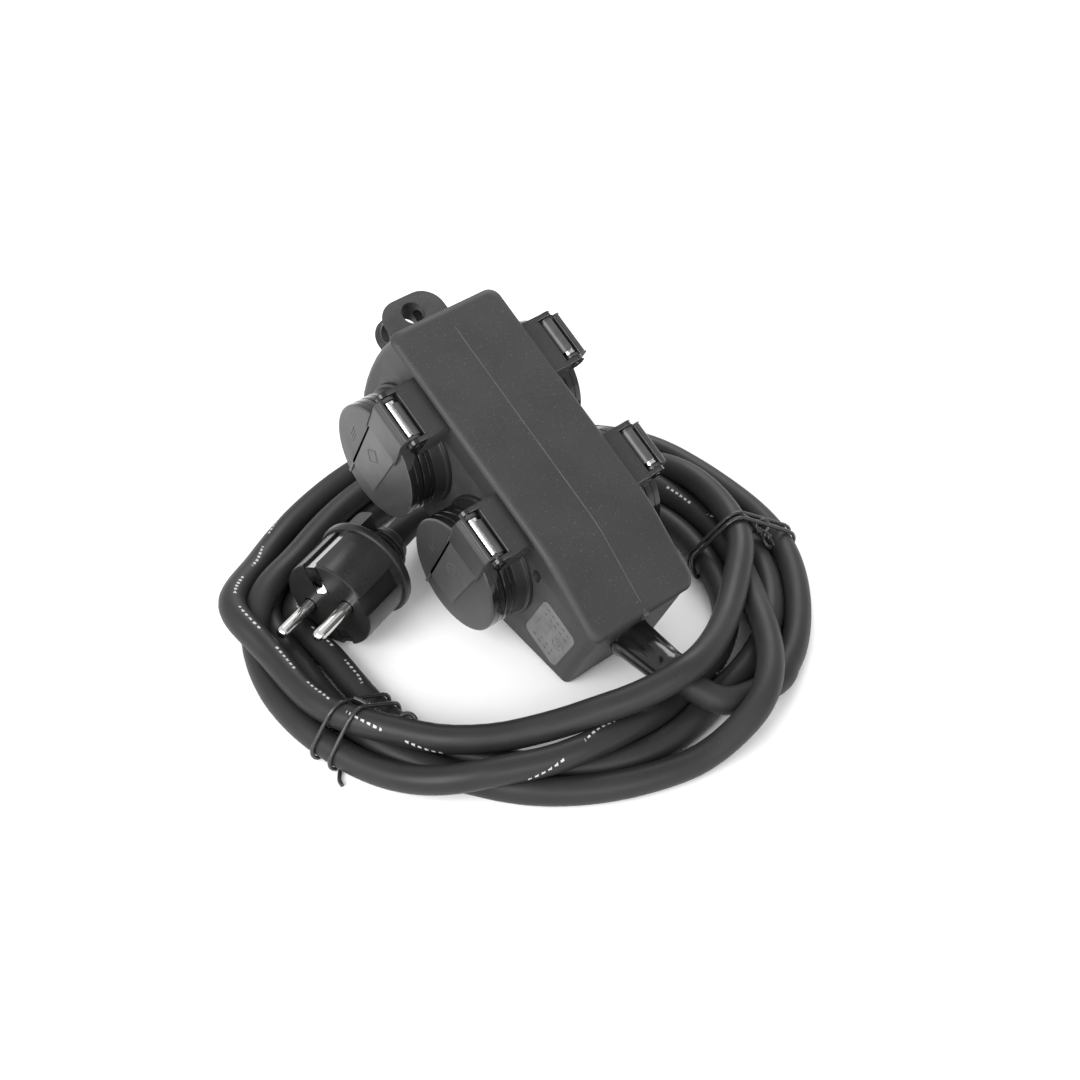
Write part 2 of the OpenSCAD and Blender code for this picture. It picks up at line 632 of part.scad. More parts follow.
// a wire tie: a loop around the coil's section, at an angle about its middle
module tie(angle, tail) {
  color([0.08, 0.08, 0.08]) translate([coil_mid[0], coil_mid[1], 0]) rotate([0, 0, angle]) {
    difference() {
      translate([coil_in - tie_d, -tie_d/2, 0.1]) cube([coil_out - coil_in + 2*tie_d, tie_d, coil_h + tie_d]);
      rotate([0, 0, 0]) translate([coil_in, -2, -1]) cube([coil_out - coil_in, 4, coil_h + 1]);
    }
    translate([coil_out + tie_d, 0, coil_h*0.6]) rotate([0, 90, 0]) cylinder(h = tail, d = tie_d*1.6, $fn = 24);
  }
}
module tie_left() {
  tie(190, 5);
}
module tie_right() {
  tie(-8, 9);
}

casing();
casing_side(1);  // casing_side_1
casing_side(-1);  // casing_side_2
base_cover();
base_seal();
base_screws();
rating_plate();
phase_bar();
neutral_bar();
earth_bar();
phase_wire();
neutral_wire();
earth_wire();
cord_clamp();
clamp_screws();
cord_boot();
barrel(0);  // barrel_1
barrel(1);  // barrel_2
barrel(2);  // barrel_3
barrel(3);  // barrel_4
socket_ring(0);  // socket_ring_1
socket_ring(1);  // socket_ring_2
socket_ring(2);  // socket_ring_3
socket_ring(3);  // socket_ring_4
socket_cup(0);  // socket_cup_1
socket_cup(1);  // socket_cup_2
socket_cup(2);  // socket_cup_3
socket_cup(3);  // socket_cup_4
earth_clip(0);  // earth_clip_1
earth_clip(1);  // earth_clip_2
earth_clip(2);  // earth_clip_3
earth_clip(3);  // earth_clip_4
contacts(0);  // contacts_1
contacts(1);  // contacts_2
contacts(2);  // contacts_3
contacts(3);  // contacts_4
lid(0);  // lid_1
lid(1);  // lid_2
lid(2);  // lid_3
lid(3);  // lid_4
lid_seal(0);  // lid_seal_1
lid_seal(1);  // lid_seal_2
lid_seal(2);  // lid_seal_3
lid_seal(3);  // lid_seal_4
hinge_pin(0);  // hinge_pin_1
hinge_pin(1);  // hinge_pin_2
hinge_pin(2);  // hinge_pin_3
hinge_pin(3);  // hinge_pin_4
spring(0);  // spring_1
spring(1);  // spring_2
spring(2);  // spring_3
spring(3);  // spring_4
cord_tail();
cord_coil();
plug_lead();
plug_body();
plug_pins();
plug_earth();
plug_screw();
tie_left();
tie_right();
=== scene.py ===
# Portable rubber power distribution box, lying tipped on its nose inside its own coiled lead.
# Sizes are in millimetres in the makers' frames below and become metres when a piece is placed.
import bpy
import bmesh
import math
import numpy as np
from mathutils import Matrix, Vector


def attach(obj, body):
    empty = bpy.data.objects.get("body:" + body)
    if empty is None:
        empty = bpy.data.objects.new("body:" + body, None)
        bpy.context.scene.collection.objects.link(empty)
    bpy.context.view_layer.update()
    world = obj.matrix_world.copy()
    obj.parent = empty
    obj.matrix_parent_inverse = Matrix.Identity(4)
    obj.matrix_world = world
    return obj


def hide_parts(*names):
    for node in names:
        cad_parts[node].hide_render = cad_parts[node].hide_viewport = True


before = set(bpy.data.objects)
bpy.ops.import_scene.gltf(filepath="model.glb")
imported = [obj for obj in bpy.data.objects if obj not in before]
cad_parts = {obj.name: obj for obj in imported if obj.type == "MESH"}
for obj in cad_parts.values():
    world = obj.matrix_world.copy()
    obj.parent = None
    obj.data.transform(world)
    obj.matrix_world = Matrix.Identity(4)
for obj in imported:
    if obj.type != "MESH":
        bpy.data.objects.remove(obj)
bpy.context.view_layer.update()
MM = 0.001

# ---------------------------------------------------------------- how the box sits
TIP_UP = math.radians(27.5)
SEAT_Y, SEAT_H = -37.1864, 60.1427
METRES = Matrix.Diagonal((MM, MM, MM, 1))
TABLE = METRES
BOX = METRES @ Matrix.Translation((0, SEAT_Y, SEAT_H)) @ Matrix.Rotation(TIP_UP, 4, "X")
SOCKET_Y = (18.2, 69.7, 18.2, 69.7)
SOCKET_DROP = 35.4


def socket_frame(number):
    """frame of socket 1 to 4: x outwards, y along the box, z up from the roof"""
    turn = 0 if number <= 2 else math.pi
    return BOX @ Matrix.Translation((0, SOCKET_Y[number - 1], 0)) @ Matrix.Rotation(turn, 4, "Z")


# ---------------------------------------------------------------- camera
def make_camera():
    data = bpy.data.cameras.new("studio_camera")
    data.lens, data.sensor_width = 58.27, 36
    data.clip_start, data.clip_end = 0.02, 20
    camera = bpy.data.objects.new("studio_camera", data)
    bpy.context.scene.collection.objects.link(camera)
    camera.location = (-0.30706, -0.36962, 0.47581)
    camera.rotation_mode = "QUATERNION"
    camera.rotation_quaternion = Vector((0.47064, 0.55887, -0.68276)).to_track_quat("-Z", "Y")
    bpy.context.scene.camera = camera


make_camera()

# ---------------------------------------------------------------- the lead's route
LEAD = 10.4
COIL_MID = (-8.0, -9.0)
TAIL = [(0, -46.1, 18.65), (0, -60.1, 18.65), (0, -72.1, 18.65), (0, -80.1, 18.5), (2.4, -88.3, 17.2),
        (9.5, -95, 13.2)]
TO_PLUG = [(38, 58, 7), (22, 60, 7), (4, 57, 9), (-12, 50, 13), (-24, 45, 17.5), (-33.5, 40.3, 19.8),
           (-44, 36.74, 20.2), (-50.2, 34.67, 20.2)]
PLUG_AT, PLUG_YAW, PLUG_ROLL = (-74.9, 26.4, 20.2), 198.5, 24.0
PIN_Y = 9.5

# how the turns lie: degrees along the winding, distance from the coil's middle, height
TURNS = [
    (-64, 97, 6.0), (-56, 98.5, 5.3), (-44, 99, 5.3), (-20, 102, 5.3), (2, 98, 5.3), (40, 92, 5.3), (90, 92,
                    5.3),
    (130, 95, 5.3), (146, 98, 5.3), (160, 91, 5.3), (185, 89, 5.3), (210, 90, 5.3), (253, 93, 5.3), (268, 95,
                    9),
    (282, 96, 16.5), (293, 94, 18.5), (310, 88, 16), (340, 83, 14.5), (362, 82, 14.5), (400, 83, 14.5), (450, 84,
                    14.5),
    (490, 91, 14.5), (504, 99, 14.5), (520, 100, 7), (534, 98, 5.3), (568, 89, 8), (600, 82, 12), (617, 78,
                    13.5),
    (636, 74.5, 7), (676, 76, 5.3), (705, 76.5, 5.3), (760, 79, 5.3), (810, 81, 5.3),
    (850, 87, 5.3), (864, 90.5, 5.3), (880, 80.5, 5.3), (920, 80, 5.3), (976, 82.5, 5.3), (1000, 84, 5.3), (1036,
                    87.5, 5.3), (1066, 87.5, 5.3),
    (1110, 88, 14), (1170, 93, 14.5), (1210, 100, 15), (1224, 102, 17), (1238, 95, 15), (1258, 92, 14.5), (1285,
                    81, 14.5),
    (1316, 73, 24), (1336, 72, 27.5), (1356, 72.5, 29.3), (1394, 75, 27), (1420, 84, 25.5), (1444, 86,
                    25), (1472, 84, 14)]


def through(points, step):
    """points close together on a smooth line through the given ones"""
    p = np.array(points, float)
    p = np.vstack([2*p[0] - p[1], p, 2*p[-1] - p[-2]])
    out = []
    for i in range(1, len(p) - 2):
        a, b, c, d = p[i - 1:i + 3]
        n = max(2, int(math.ceil(np.linalg.norm(c - b)/step)))
        for k in range(n):
            t = k/n
            out.append(0.5*(2*b + (c - a)*t + (2*a - 5*b + 4*c - d)*t*t + (3*b - a - 3*c + d)*t**3))
    out.append(p[-2])
    return np.array(out)


def run_length(points):
    return np.concatenate([[0], np.cumsum(np.linalg.norm(np.diff(points, axis=0), axis=1))])


def evenly(points, step):
    s = run_length(points)
    t = np.linspace(0, s[-1], int(round(s[-1]/step)) + 1)
    return np.stack([np.interp(t, s, points[:, k]) for k in range(3)], axis=1)


def lead_route():
    """out of the box, round the coil and back under the box to the plug"""
    a = np.array(TURNS, float)
    deg = np.arange(a[0, 0], a[-1, 0] + 0.1, 4.0)

    def between(col):
        m = np.gradient(a[:, col], a[:, 0])
        i = np.clip(np.searchsorted(a[:, 0], deg, side="right") - 1, 0, len(a) - 2)
        h = a[i + 1, 0] - a[i, 0]
        t = (deg - a[i, 0])/h
        return ((2*t**3 - 3*t**2 + 1)*a[i, col] + (t**3 - 2*t**2 + t)*h*m[i]
                + (-2*t**3 + 3*t**2)*a[i + 1, col] + (t**3 - t**2)*h*m[i + 1])
    r, z, w = between(1), between(2), np.radians(deg)
    turns = np.stack([COIL_MID[0] + r*np.cos(w), COIL_MID[1] + r*np.sin(w), z], axis=1)
    return evenly(through(np.vstack([np.array(TAIL, float), turns, np.array(TO_PLUG, float)]), 2.0), 4.0)


def away_from_rod(p, a, b, reach):
    a, b = np.array(a, float), np.array(b, float)
    t = np.clip((p - a) @ (b - a)/np.dot(b - a, b - a), 0, 1)
    d = p - (a + t[:, None]*(b - a))
    n = np.linalg.norm(d, axis=1) + 1e-9
    return d*(np.maximum(reach - n, 0)/n)[:, None]


def away_from_drum(p, a, b, reach):
    a, b = np.array(a, float), np.array(b, float)
    u = (b - a)/np.linalg.norm(b - a)
    s = (p - a) @ u
    d = p - a - s[:, None]*u
    n = np.linalg.norm(d, axis=1) + 1e-9
    past_end = np.linalg.norm(b - a) + LEAD/2 - s
    side = reach - n
    inside = (past_end > 0) & (s + LEAD/2 > 0) & (side > 0)
    push = np.zeros_like(p)
    by_side = inside & (side <= past_end)
    by_end = inside & (side > past_end)
    push[by_side] = (d/n[:, None]*side[:, None])[by_side]
    push[by_end] = (u*past_end[:, None])[by_end]
    return push


def plug_lines():
    yaw, roll = math.radians(PLUG_YAW), math.radians(PLUG_ROLL)
    ahead = np.array([math.cos(yaw), math.sin(yaw), 0])
    across = np.array([-math.sin(yaw), math.cos(yaw), 0])*math.cos(roll) + np.array([0, 0, 1])*math.sin(roll)
    return np.array(PLUG_AT), ahead, across


def settle(p, rounds):
    """lets the turns push each other apart and lie on the table, on each other and round the plug"""
    start = p.copy()
    n = len(p)
    held = np.zeros(n, bool)
    held[:10] = True
    held[-23:] = True
    face, ahead, across = plug_lines()
    near = np.abs(np.subtract.outer(np.arange(n), np.arange(n))) < 8
    gap = LEAD + 0.05
    for k in range(rounds):
        p = p + (start - p)*0.006
        p[:, 2] -= 0.08
        d = p[:, None, :] - p[None, :, :]
        r = np.sqrt((d**2).sum(axis=2)) + 1e-9
        hit = (r < gap) & ~near
        push = np.where(hit, (gap - r)/r*0.4, 0)
        p = p + (d*push[:, :, None]).sum(axis=1)/np.sqrt(np.maximum(hit.sum(axis=1), 1))[:, None]
        free = p[:-26]
        free += away_from_drum(free, face - ahead*21.5, face, 18.6 + LEAD/2)*0.6
        free += away_from_drum(free, face - ahead*24.9, face - ahead*21.5, 20.1 + LEAD/2)*0.6
        for s in (-PIN_Y, PIN_Y):
            free += away_from_rod(free, face + across*s, face + across*s + ahead*18.5, 2.5 + LEAD/2)*0.6
        free[24:] += away_from_rod(free[24:], (0, -58, 18.65), (0, -78, 18.65), 7.2 + LEAD/2)*0.6
        move = p - start
        for _ in range(2):
            move[1:-1] = 0.5*move[1:-1] + 0.25*(move[:-2] + move[2:])
        p = start + move
        p[:, 2] = np.maximum(p[:, 2], LEAD/2 + 0.02)
        p[held] = start[held]
    return p


lead_path = settle(lead_route(), 500)

# ---------------------------------------------------------------- shader groups shared by the finishes
def node_group(name, inputs, outputs):
    tree = bpy.data.node_groups.new(name, "ShaderNodeTree")
    for label, kind, value in inputs:
        socket = tree.interface.new_socket(label, in_out="INPUT", socket_type=kind)
        if value is not None:
            socket.default_value = value
    for label, kind in outputs:
        tree.interface.new_socket(label, in_out="OUTPUT", socket_type=kind)
    return tree, tree.nodes.new("NodeGroupInput"), tree.nodes.new("NodeGroupOutput")


def add(tree, kind, **values):
    """a node with its properties and unlinked sockets set by name"""
    node = tree.nodes.new(kind)
    for key, value in values.items():
        if hasattr(node, key) and key not in node.inputs:
            setattr(node, key, value)
        else:
            node.inputs[key].default_value = value
    return node


def sum_of(tree, operation, a, b):
    node = add(tree, "ShaderNodeMath", operation=operation)
    for socket, value in zip(node.inputs, (a, b)):
        if isinstance(value, (int, float)):
            socket.default_value = value
        else:
            tree.links.new(value, socket)
    return node.outputs[0]


def ramp(tree, value, low, high, out_low=0.0, out_high=1.0):
    node = add(tree, "ShaderNodeMapRange")
    node.inputs["From Min"].default_value, node.inputs["From Max"].default_value = low, high
    node.inputs["To Min"].default_value, node.inputs["To Max"].default_value = out_low, out_high
    tree.links.new(value, node.inputs["Value"])
    return node.outputs["Result"]


def make_grain_group():
    """fine moulded grain: a height for the bump and a slow mottling mask"""
    tree, start, end = node_group(
        "moulded_grain", [("Vector", "NodeSocketVector", None), ("Scale", "NodeSocketFloat", 1.0)],
        [("Height", "NodeSocketFloat"), ("Mottle", "NodeSocketFloat")])
    scale = add(tree, "ShaderNodeVectorMath", operation="SCALE")
    tree.links.new(start.outputs["Vector"], scale.inputs[0])
    tree.links.new(start.outputs["Scale"], scale.inputs["Scale"])
    fine = add(tree, "ShaderNodeTexNoise", Scale=2600.0, Detail=3.0, Roughness=0.6)
    pits = add(tree, "ShaderNodeTexVoronoi", Scale=1500.0)
    slow = add(tree, "ShaderNodeTexNoise", Scale=38.0, Detail=4.0, Roughness=0.55)
    for node in (fine, pits, slow):
        tree.links.new(scale.outputs[0], node.inputs["Vector"])
    height = sum_of(tree, "ADD", sum_of(tree, "MULTIPLY", fine.outputs[0], 0.7),
                    sum_of(tree, "MULTIPLY", pits.outputs["Distance"], 0.3))
    tree.links.new(height, end.inputs["Height"])
    tree.links.new(slow.outputs[0], end.inputs["Mottle"])
    return tree


def make_wear_group():
    """worn, slightly polished edges and faint dust on what faces up"""
    tree, start, end = node_group(
        "edge_wear", [("Vector", "NodeSocketVector", None), ("Amount", "NodeSocketFloat", 1.0)],
        [("Edge", "NodeSocketFloat"), ("Dust", "NodeSocketFloat")])
    geometry = add(tree, "ShaderNodeNewGeometry")
    edge = ramp(tree, geometry.outputs["Pointiness"], 0.505, 0.60)
    patches = add(tree, "ShaderNodeTexNoise", Scale=140.0, Detail=5.0)
    specks = add(tree, "ShaderNodeTexNoise", Scale=1300.0, Detail=2.0)
    for node in (patches, specks):
        tree.links.new(start.outputs["Vector"], node.inputs["Vector"])
    broken = sum_of(tree, "MULTIPLY", edge, ramp(tree, patches.outputs[0], 0.3, 0.6, 0.45, 1.0))
    tree.links.new(sum_of(tree, "MULTIPLY", broken, start.outputs["Amount"]), end.inputs["Edge"])
    split = add(tree, "ShaderNodeSeparateXYZ")
    tree.links.new(geometry.outputs["Normal"], split.inputs[0])
    dust = sum_of(tree, "MULTIPLY", ramp(tree, split.outputs["Z"], 0.2, 1.0), ramp(tree, specks.outputs[0], 0.62,
                    0.75))
    tree.links.new(sum_of(tree, "MULTIPLY", dust, start.outputs["Amount"]), end.inputs["Dust"])
    return tree


def make_streak_group():
    """fine drawn lines along one direction, for metal"""
    tree, start, end = node_group(
        "drawn_lines", [("Vector", "NodeSocketVector", None), ("Stretch", "NodeSocketVector",
                        (1.0, 0.05, 1.0))],
        [("Lines", "NodeSocketFloat")])
    pull = add(tree, "ShaderNodeVectorMath", operation="MULTIPLY")
    tree.links.new(start.outputs["Vector"], pull.inputs[0])
    tree.links.new(start.outputs["Stretch"], pull.inputs[1])
    noise = add(tree, "ShaderNodeTexNoise", Scale=2400.0, Detail=4.0)
    tree.links.new(pull.outputs[0], noise.inputs["Vector"])
    tree.links.new(noise.outputs[0], end.inputs["Lines"])
    return tree


def make_dashes_group():
    """a printed row of plain dashes along a lead: U runs along it in metres and V once round it"""
    tree, start, end = node_group(
        "printed_dashes", [("Run", "NodeSocketFloat", 0.0), ("Round", "NodeSocketFloat", 0.0)],
        [("Print", "NodeSocketFloat")])
    run = start.outputs["Run"]
    step = sum_of(tree, "FRACT", sum_of(tree, "DIVIDE", run, 0.0023), 0.0)
    bar = sum_of(tree, "LESS_THAN", step, 0.55)
    word = sum_of(tree, "FRACT", sum_of(tree, "DIVIDE", run, 0.0217), 0.0)
    in_word = sum_of(tree, "LESS_THAN", word, 0.62)
    noise = add(tree, "ShaderNodeTexNoise", noise_dimensions="1D", Scale=950.0, Detail=1.0)
    tree.links.new(run, noise.inputs["W"])
    tall = ramp(tree, noise.outputs[0], 0.35, 0.65, 0.010, 0.019)
    off = sum_of(tree, "ABSOLUTE", sum_of(tree, "SUBTRACT", start.outputs["Round"], 0.5), 0.0)
    row = sum_of(tree, "LESS_THAN", off, tall)
    tree.links.new(sum_of(tree, "MULTIPLY", sum_of(tree, "MULTIPLY", bar, in_word), row), end.inputs["Print"])
    return tree


GRAIN, WEAR, STREAK, DASHES = make_grain_group(), make_wear_group(), make_streak_group(), make_dashes_group()


def placed(tree, group, **values):
    node = tree.nodes.new("ShaderNodeGroup")
    node.node_tree = group
    for key, value in values.items():
        node.inputs[key].default_value = value
    return node


def mix_colour(tree, mask, a, b):
    node = add(tree, "ShaderNodeMix", data_type="RGBA")
    for socket, value in ((node.inputs[6], a), (node.inputs[7], b)):
        if isinstance(value, tuple):
            socket.default_value = (*value, 1)
        else:
            tree.links.new(value, socket)
    tree.links.new(mask, node.inputs[0])
    return node.outputs[2]


def finish(name, colour, rough, grain=1.0, depth=0.25, wear=0.5, edge=None, mottle=0.12, rough_spread=0.08,
           metallic=0.0, specular=0.5, coat=0.0, coat_rough=0.1, sheen=0.0, drawn=None, printed=False):
    """one moulded, rubber or metal finish with grain, mottling, worn edges and dust"""
    material = bpy.data.materials.new(name)
    material.use_nodes = True
    tree = material.node_tree
    tree.nodes.clear()
    out = add(tree, "ShaderNodeOutputMaterial")
    skin = add(tree, "ShaderNodeBsdfPrincipled")
    tree.links.new(skin.outputs[0], out.inputs["Surface"])
    skin.inputs["Metallic"].default_value = metallic
    skin.inputs["Specular IOR Level"].default_value = specular
    skin.inputs["Coat Weight"].default_value = coat
    skin.inputs["Coat Roughness"].default_value = coat_rough
    skin.inputs["Sheen Weight"].default_value = sheen
    skin.inputs["Sheen Roughness"].default_value = 0.4
    where = add(tree, "ShaderNodeTexCoord")
    grains = placed(tree, GRAIN, Scale=grain)
    worn = placed(tree, WEAR, Amount=wear)
    for node in (grains, worn):
        tree.links.new(where.outputs["Object"], node.inputs["Vector"])
    light = tuple(min(1, c*(1 + mottle) + 0.002) for c in colour)
    deep = tuple(c*(1 - mottle) for c in colour)
    shade = mix_colour(tree, ramp(tree, grains.outputs["Mottle"], 0.35, 0.65), deep, light)
    shade = mix_colour(tree, worn.outputs["Edge"], shade, edge or tuple(min(1, c*1.8 + 0.02) for c in colour))
    shade = mix_colour(tree, sum_of(tree, "MULTIPLY", worn.outputs["Dust"], 0.10), shade, (0.5, 0.5, 0.5))
    height = grains.outputs["Height"]
    roughness = ramp(tree, grains.outputs["Mottle"], 0.3, 0.7, max(0.02, rough - rough_spread),
                    rough + rough_spread)
    if drawn:
        lines = placed(tree, STREAK, Stretch=drawn)
        tree.links.new(where.outputs["Object"], lines.inputs["Vector"])
        height = lines.outputs["Lines"]
        roughness = ramp(tree, lines.outputs["Lines"], 0.3, 0.7, max(0.02, rough - rough_spread),
                        rough + rough_spread)
        shade = mix_colour(tree, ramp(tree, lines.outputs["Lines"], 0.4, 0.7, 0.0, 0.35), shade, deep)
    if printed:
        split = add(tree, "ShaderNodeSeparateXYZ")
        tree.links.new(where.outputs["UV"], split.inputs[0])
        dashes = placed(tree, DASHES)
        tree.links.new(split.outputs["X"], dashes.inputs["Run"])
        tree.links.new(split.outputs["Y"], dashes.inputs["Round"])
        shade = mix_colour(tree, dashes.outputs["Print"], shade, (0.42, 0.42, 0.41))
    tree.links.new(shade, skin.inputs["Base Color"])
    tree.links.new(sum_of(tree, "SUBTRACT", roughness, sum_of(tree, "MULTIPLY", worn.outputs["Edge"], 0.08)),
                   skin.inputs["Roughness"])
    bump = add(tree, "ShaderNodeBump", Strength=depth, Distance=0.0002)
    tree.links.new(height, bump.inputs["Height"])
    tree.links.new(bump.outputs[0], skin.inputs["Normal"])
    return material


CASING_RUBBER = finish("casing_rubber", (0.024, 0.024, 0.025), 0.50, depth=0.22, wear=0.7, mottle=0.06,
                specular=0.28)
BARREL_RUBBER = finish("barrel_rubber", (0.014, 0.014, 0.015), 0.36, depth=0.15, wear=0.5, mottle=0.06,
                specular=0.3)
LID_FACE = finish("lid_face", (0.030, 0.030, 0.031), 0.36, depth=0.18, wear=0.6, mottle=0.05, specular=0.4)
GLOSS_BLACK = finish("gloss_black", (0.006, 0.006, 0.0065), 0.17, grain=0.6, depth=0.05, wear=0.25, specular=0.3,
                rough_spread=0.04, coat=0.3, coat_rough=0.06)
BLOCK_PLASTIC = finish("block_plastic", (0.022, 0.022, 0.023), 0.33, depth=0.12, wear=0.6, mottle=0.05,
                specular=0.35)
BOOT_RUBBER = finish("boot_rubber", (0.006, 0.006, 0.0065), 0.20, depth=0.08, wear=0.2, specular=0.3, coat=0.4,
                coat_rough=0.08)
LEAD_RUBBER = finish("lead_rubber", (0.016, 0.016, 0.017), 0.46, grain=0.8, depth=0.18, wear=0.15, mottle=0.08,
                specular=0.22, printed=True)
PLUG_RUBBER = finish("plug_rubber", (0.009, 0.009, 0.0095), 0.30, depth=0.14, wear=0.5, mottle=0.08,
                specular=0.3)
PLATE_RUBBER = finish("plate_rubber", (0.060, 0.060, 0.062), 0.45, depth=0.2, wear=1.0, mottle=0.06)
COVER_PLASTIC = finish("cover_plastic", (0.03, 0.03, 0.032), 0.42, depth=0.3, wear=0.6)
SEAL_RUBBER = finish("seal_rubber", (0.06, 0.06, 0.06), 0.6, depth=0.3)
NICKEL = finish("pin_nickel", (0.72, 0.71, 0.69), 0.16, wear=0.2, metallic=1.0, depth=0.06, mottle=0.05,
                rough_spread=0.05, drawn=(1.0, 1.0, 0.4), edge=(0.8, 0.8, 0.78))
ROLL_STEEL = finish("roll_steel", (0.60, 0.60, 0.61), 0.22, wear=0.2, metallic=1.0, depth=0.18, rough_spread=0.1,
                drawn=(1.0, 0.05, 1.0), edge=(0.75, 0.75, 0.75))
SCREW_STEEL = finish("screw_steel", (0.5, 0.5, 0.5), 0.3, wear=0.3, metallic=1.0, depth=0.1,
                drawn=(1.0, 1.0, 0.3))
BRASS = finish("contact_brass", (0.72, 0.5, 0.2), 0.25, wear=0.3, metallic=1.0, depth=0.1,
               drawn=(0.2, 1.0, 1.0))
TIE_COAT = finish("tie_coat", (0.014, 0.014, 0.014), 0.28, depth=0.1, wear=0.2)
WIRE_BROWN = finish("wire_brown", (0.13, 0.055, 0.025), 0.4, depth=0.1)
WIRE_BLUE = finish("wire_blue", (0.02, 0.06, 0.28), 0.4, depth=0.1)
WIRE_GREEN = finish("wire_green", (0.16, 0.3, 0.03), 0.4, depth=0.1)


# ---------------------------------------------------------------- making meshes
def loft(rings, closed=False, ends=True):
    """skin over rings of points; closed joins the last ring to the first"""
    bm = bmesh.new()
    made = [[bm.verts.new(p) for p in ring] for ring in rings]
    n = len(made[0])
    pairs = list(zip(made, made[1:])) + ([(made[-1], made[0])] if closed else [])
    for a, b in pairs:
        for k in range(n):
            bm.faces.new((a[k], a[(k + 1) % n], b[(k + 1) % n], b[k]))
    if ends and not closed:
        bm.faces.new(made[0])
        bm.faces.new(reversed(made[-1]))
    return bm


def turned(profile, centre, axis, sides=96, sweep=None):
    """a closed [along, radius] profile turned about an axis through centre"""
    axis = Vector(axis).normalized()
    u = axis.orthogonal().normalized()
    v = axis.cross(u)
    rings = []
    for k in range(sides):
        a = 2*math.pi*k/sides
        d = u*math.cos(a) + v*math.sin(a)
        rings.append([Vector(centre) + axis*s + d*r for s, r in profile])
    bm = loft(rings, closed=True)
    bmesh.ops.remove_doubles(bm, verts=bm.verts, dist=1e-5)
    return bm


def prism(outline, low, high):
    """outline maps a side (low or high) to its points"""
    return loft([outline(low), outline(high)])


def soften(bm, width, steps=3, angle=35):
    bm.normal_update()
    sharp = [e for e in bm.edges if e.is_manifold and e.calc_face_angle(0) > math.radians(angle)]
    bmesh.ops.bevel(bm, geom=sharp, offset=width, segments=steps, profile=0.6, affect="EDGES",
                    clamp_overlap=True)
    return bm


def rounded_corners(corners, steps=6):
    """outline through (a, b, radius) corners"""
    out = []
    n = len(corners)
    for i in range(n):
        a, b, c = (np.array(corners[j % n][:2], float) for j in (i - 1, i, i + 1))
        r = corners[i][2]
        if r <= 0:
            out.append(tuple(b))
            continue
        u, v = (a - b)/np.linalg.norm(a - b), (c - b)/np.linalg.norm(c - b)
        half = math.acos(max(-1, min(1, float(u @ v))))/2
        o = b + (u + v)/np.linalg.norm(u + v)*r/math.sin(half)
        p, q = b + u*r/math.tan(half), b + v*r/math.tan(half)
        a0, a1 = math.atan2(*(p - o)[::-1]), math.atan2(*(q - o)[::-1])
        d = (a1 - a0 + math.pi) % (2*math.pi) - math.pi
        out += [tuple(o + r*np.array([math.cos(a0 + d*k/steps),
                        math.sin(a0 + d*k/steps)])) for k in range(steps + 1)]
    return out


def scratch(bm):
    bmesh.ops.recalc_face_normals(bm, faces=bm.faces)
    mesh = bpy.data.meshes.new("scratch")
    bm.to_mesh(mesh)
    bm.free()
    thing = bpy.data.objects.new("scratch", mesh)
    bpy.context.scene.collection.objects.link(thing)
    return thing


def taken_back(thing):
    """the evaluated shape of a scratch object as a bmesh, with the object removed"""
    mesh = bpy.data.meshes.new_from_object(thing.evaluated_get(bpy.context.evaluated_depsgraph_get()))
    bm = bmesh.new()
    bm.from_mesh(mesh)
    bpy.data.meshes.remove(mesh)
    bpy.data.objects.remove(thing)
    return bm


def cut(bm, tools):
    """cuts each tool shape out of the body"""
    body = scratch(bm)
    helpers = [scratch(t) for t in tools]
    for h in helpers:
        step = body.modifiers.new("cut", "BOOLEAN")
        step.operation, step.solver, step.object = "DIFFERENCE", "EXACT", h
    bpy.context.view_layer.update()
    out = taken_back(body)
    for h in helpers:
        bpy.data.objects.remove(h)
    return out


def together(*parts):
    out = bmesh.new()
    for bm in parts:
        mesh = bpy.data.meshes.new("part")
        bmesh.ops.recalc_face_normals(bm, faces=bm.faces)
        bm.to_mesh(mesh)
        bm.free()
        out.from_mesh(mesh)
        bpy.data.meshes.remove(mesh)
    return out


def piece(name, bm, place, materials, body, replaces=(), choose=None, angle=32, even=True):
    """places a shape, gives it its finish and sets it riding on its body"""
    if choose:
        bm.normal_update()
        for f in bm.faces:
            f.material_index = choose(f)
    bm.transform(place)
    mesh = bpy.data.meshes.new(name)
    bm.to_mesh(mesh)
    bm.free()
    for p in mesh.polygons:
        p.use_smooth = True
    mesh.set_sharp_from_angle(angle=math.radians(angle))
    thing = bpy.data.objects.new(name, mesh)
    bpy.context.scene.collection.objects.link(thing)
    for m in materials if isinstance(materials, (list, tuple)) else [materials]:
        mesh.materials.append(m)
    if even:
        flat = thing.modifiers.new("even_normals", "WEIGHTED_NORMAL")
        flat.keep_sharp = True
        bpy.context.view_layer.update()
        better = bpy.data.meshes.new_from_object(thing.evaluated_get(bpy.context.evaluated_depsgraph_get()))
        thing.modifiers.clear()
        thing.data = better
        bpy.data.meshes.remove(mesh)
        better.name = name
    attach(thing, body)
    if replaces:
        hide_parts(*replaces)
    return thing


def slab(x0, x1, y0, y1, z0, z1, r=0.0):
    """a block with rounded corners seen from above"""
    outline = rounded_corners([(x0, y0, r), (x1, y0, r), (x1, y1, r), (x0, y1, r)])
    return prism(lambda z: [(x, y, z) for x, y in outline], z0, z1)


def rod(a, b, d, sides=48):
    a, b = Vector(a), Vector(b)
    n = (b - a).normalized()
    u = n.orthogonal().normalized()
    v = n.cross(u)
    ring = lambda p: [p + (u*math.cos(t) + v*math.sin(t))*d/2 for t in (2*math.pi*k/sides for k in range(sides))]
    return loft([ring(a), ring(b)])


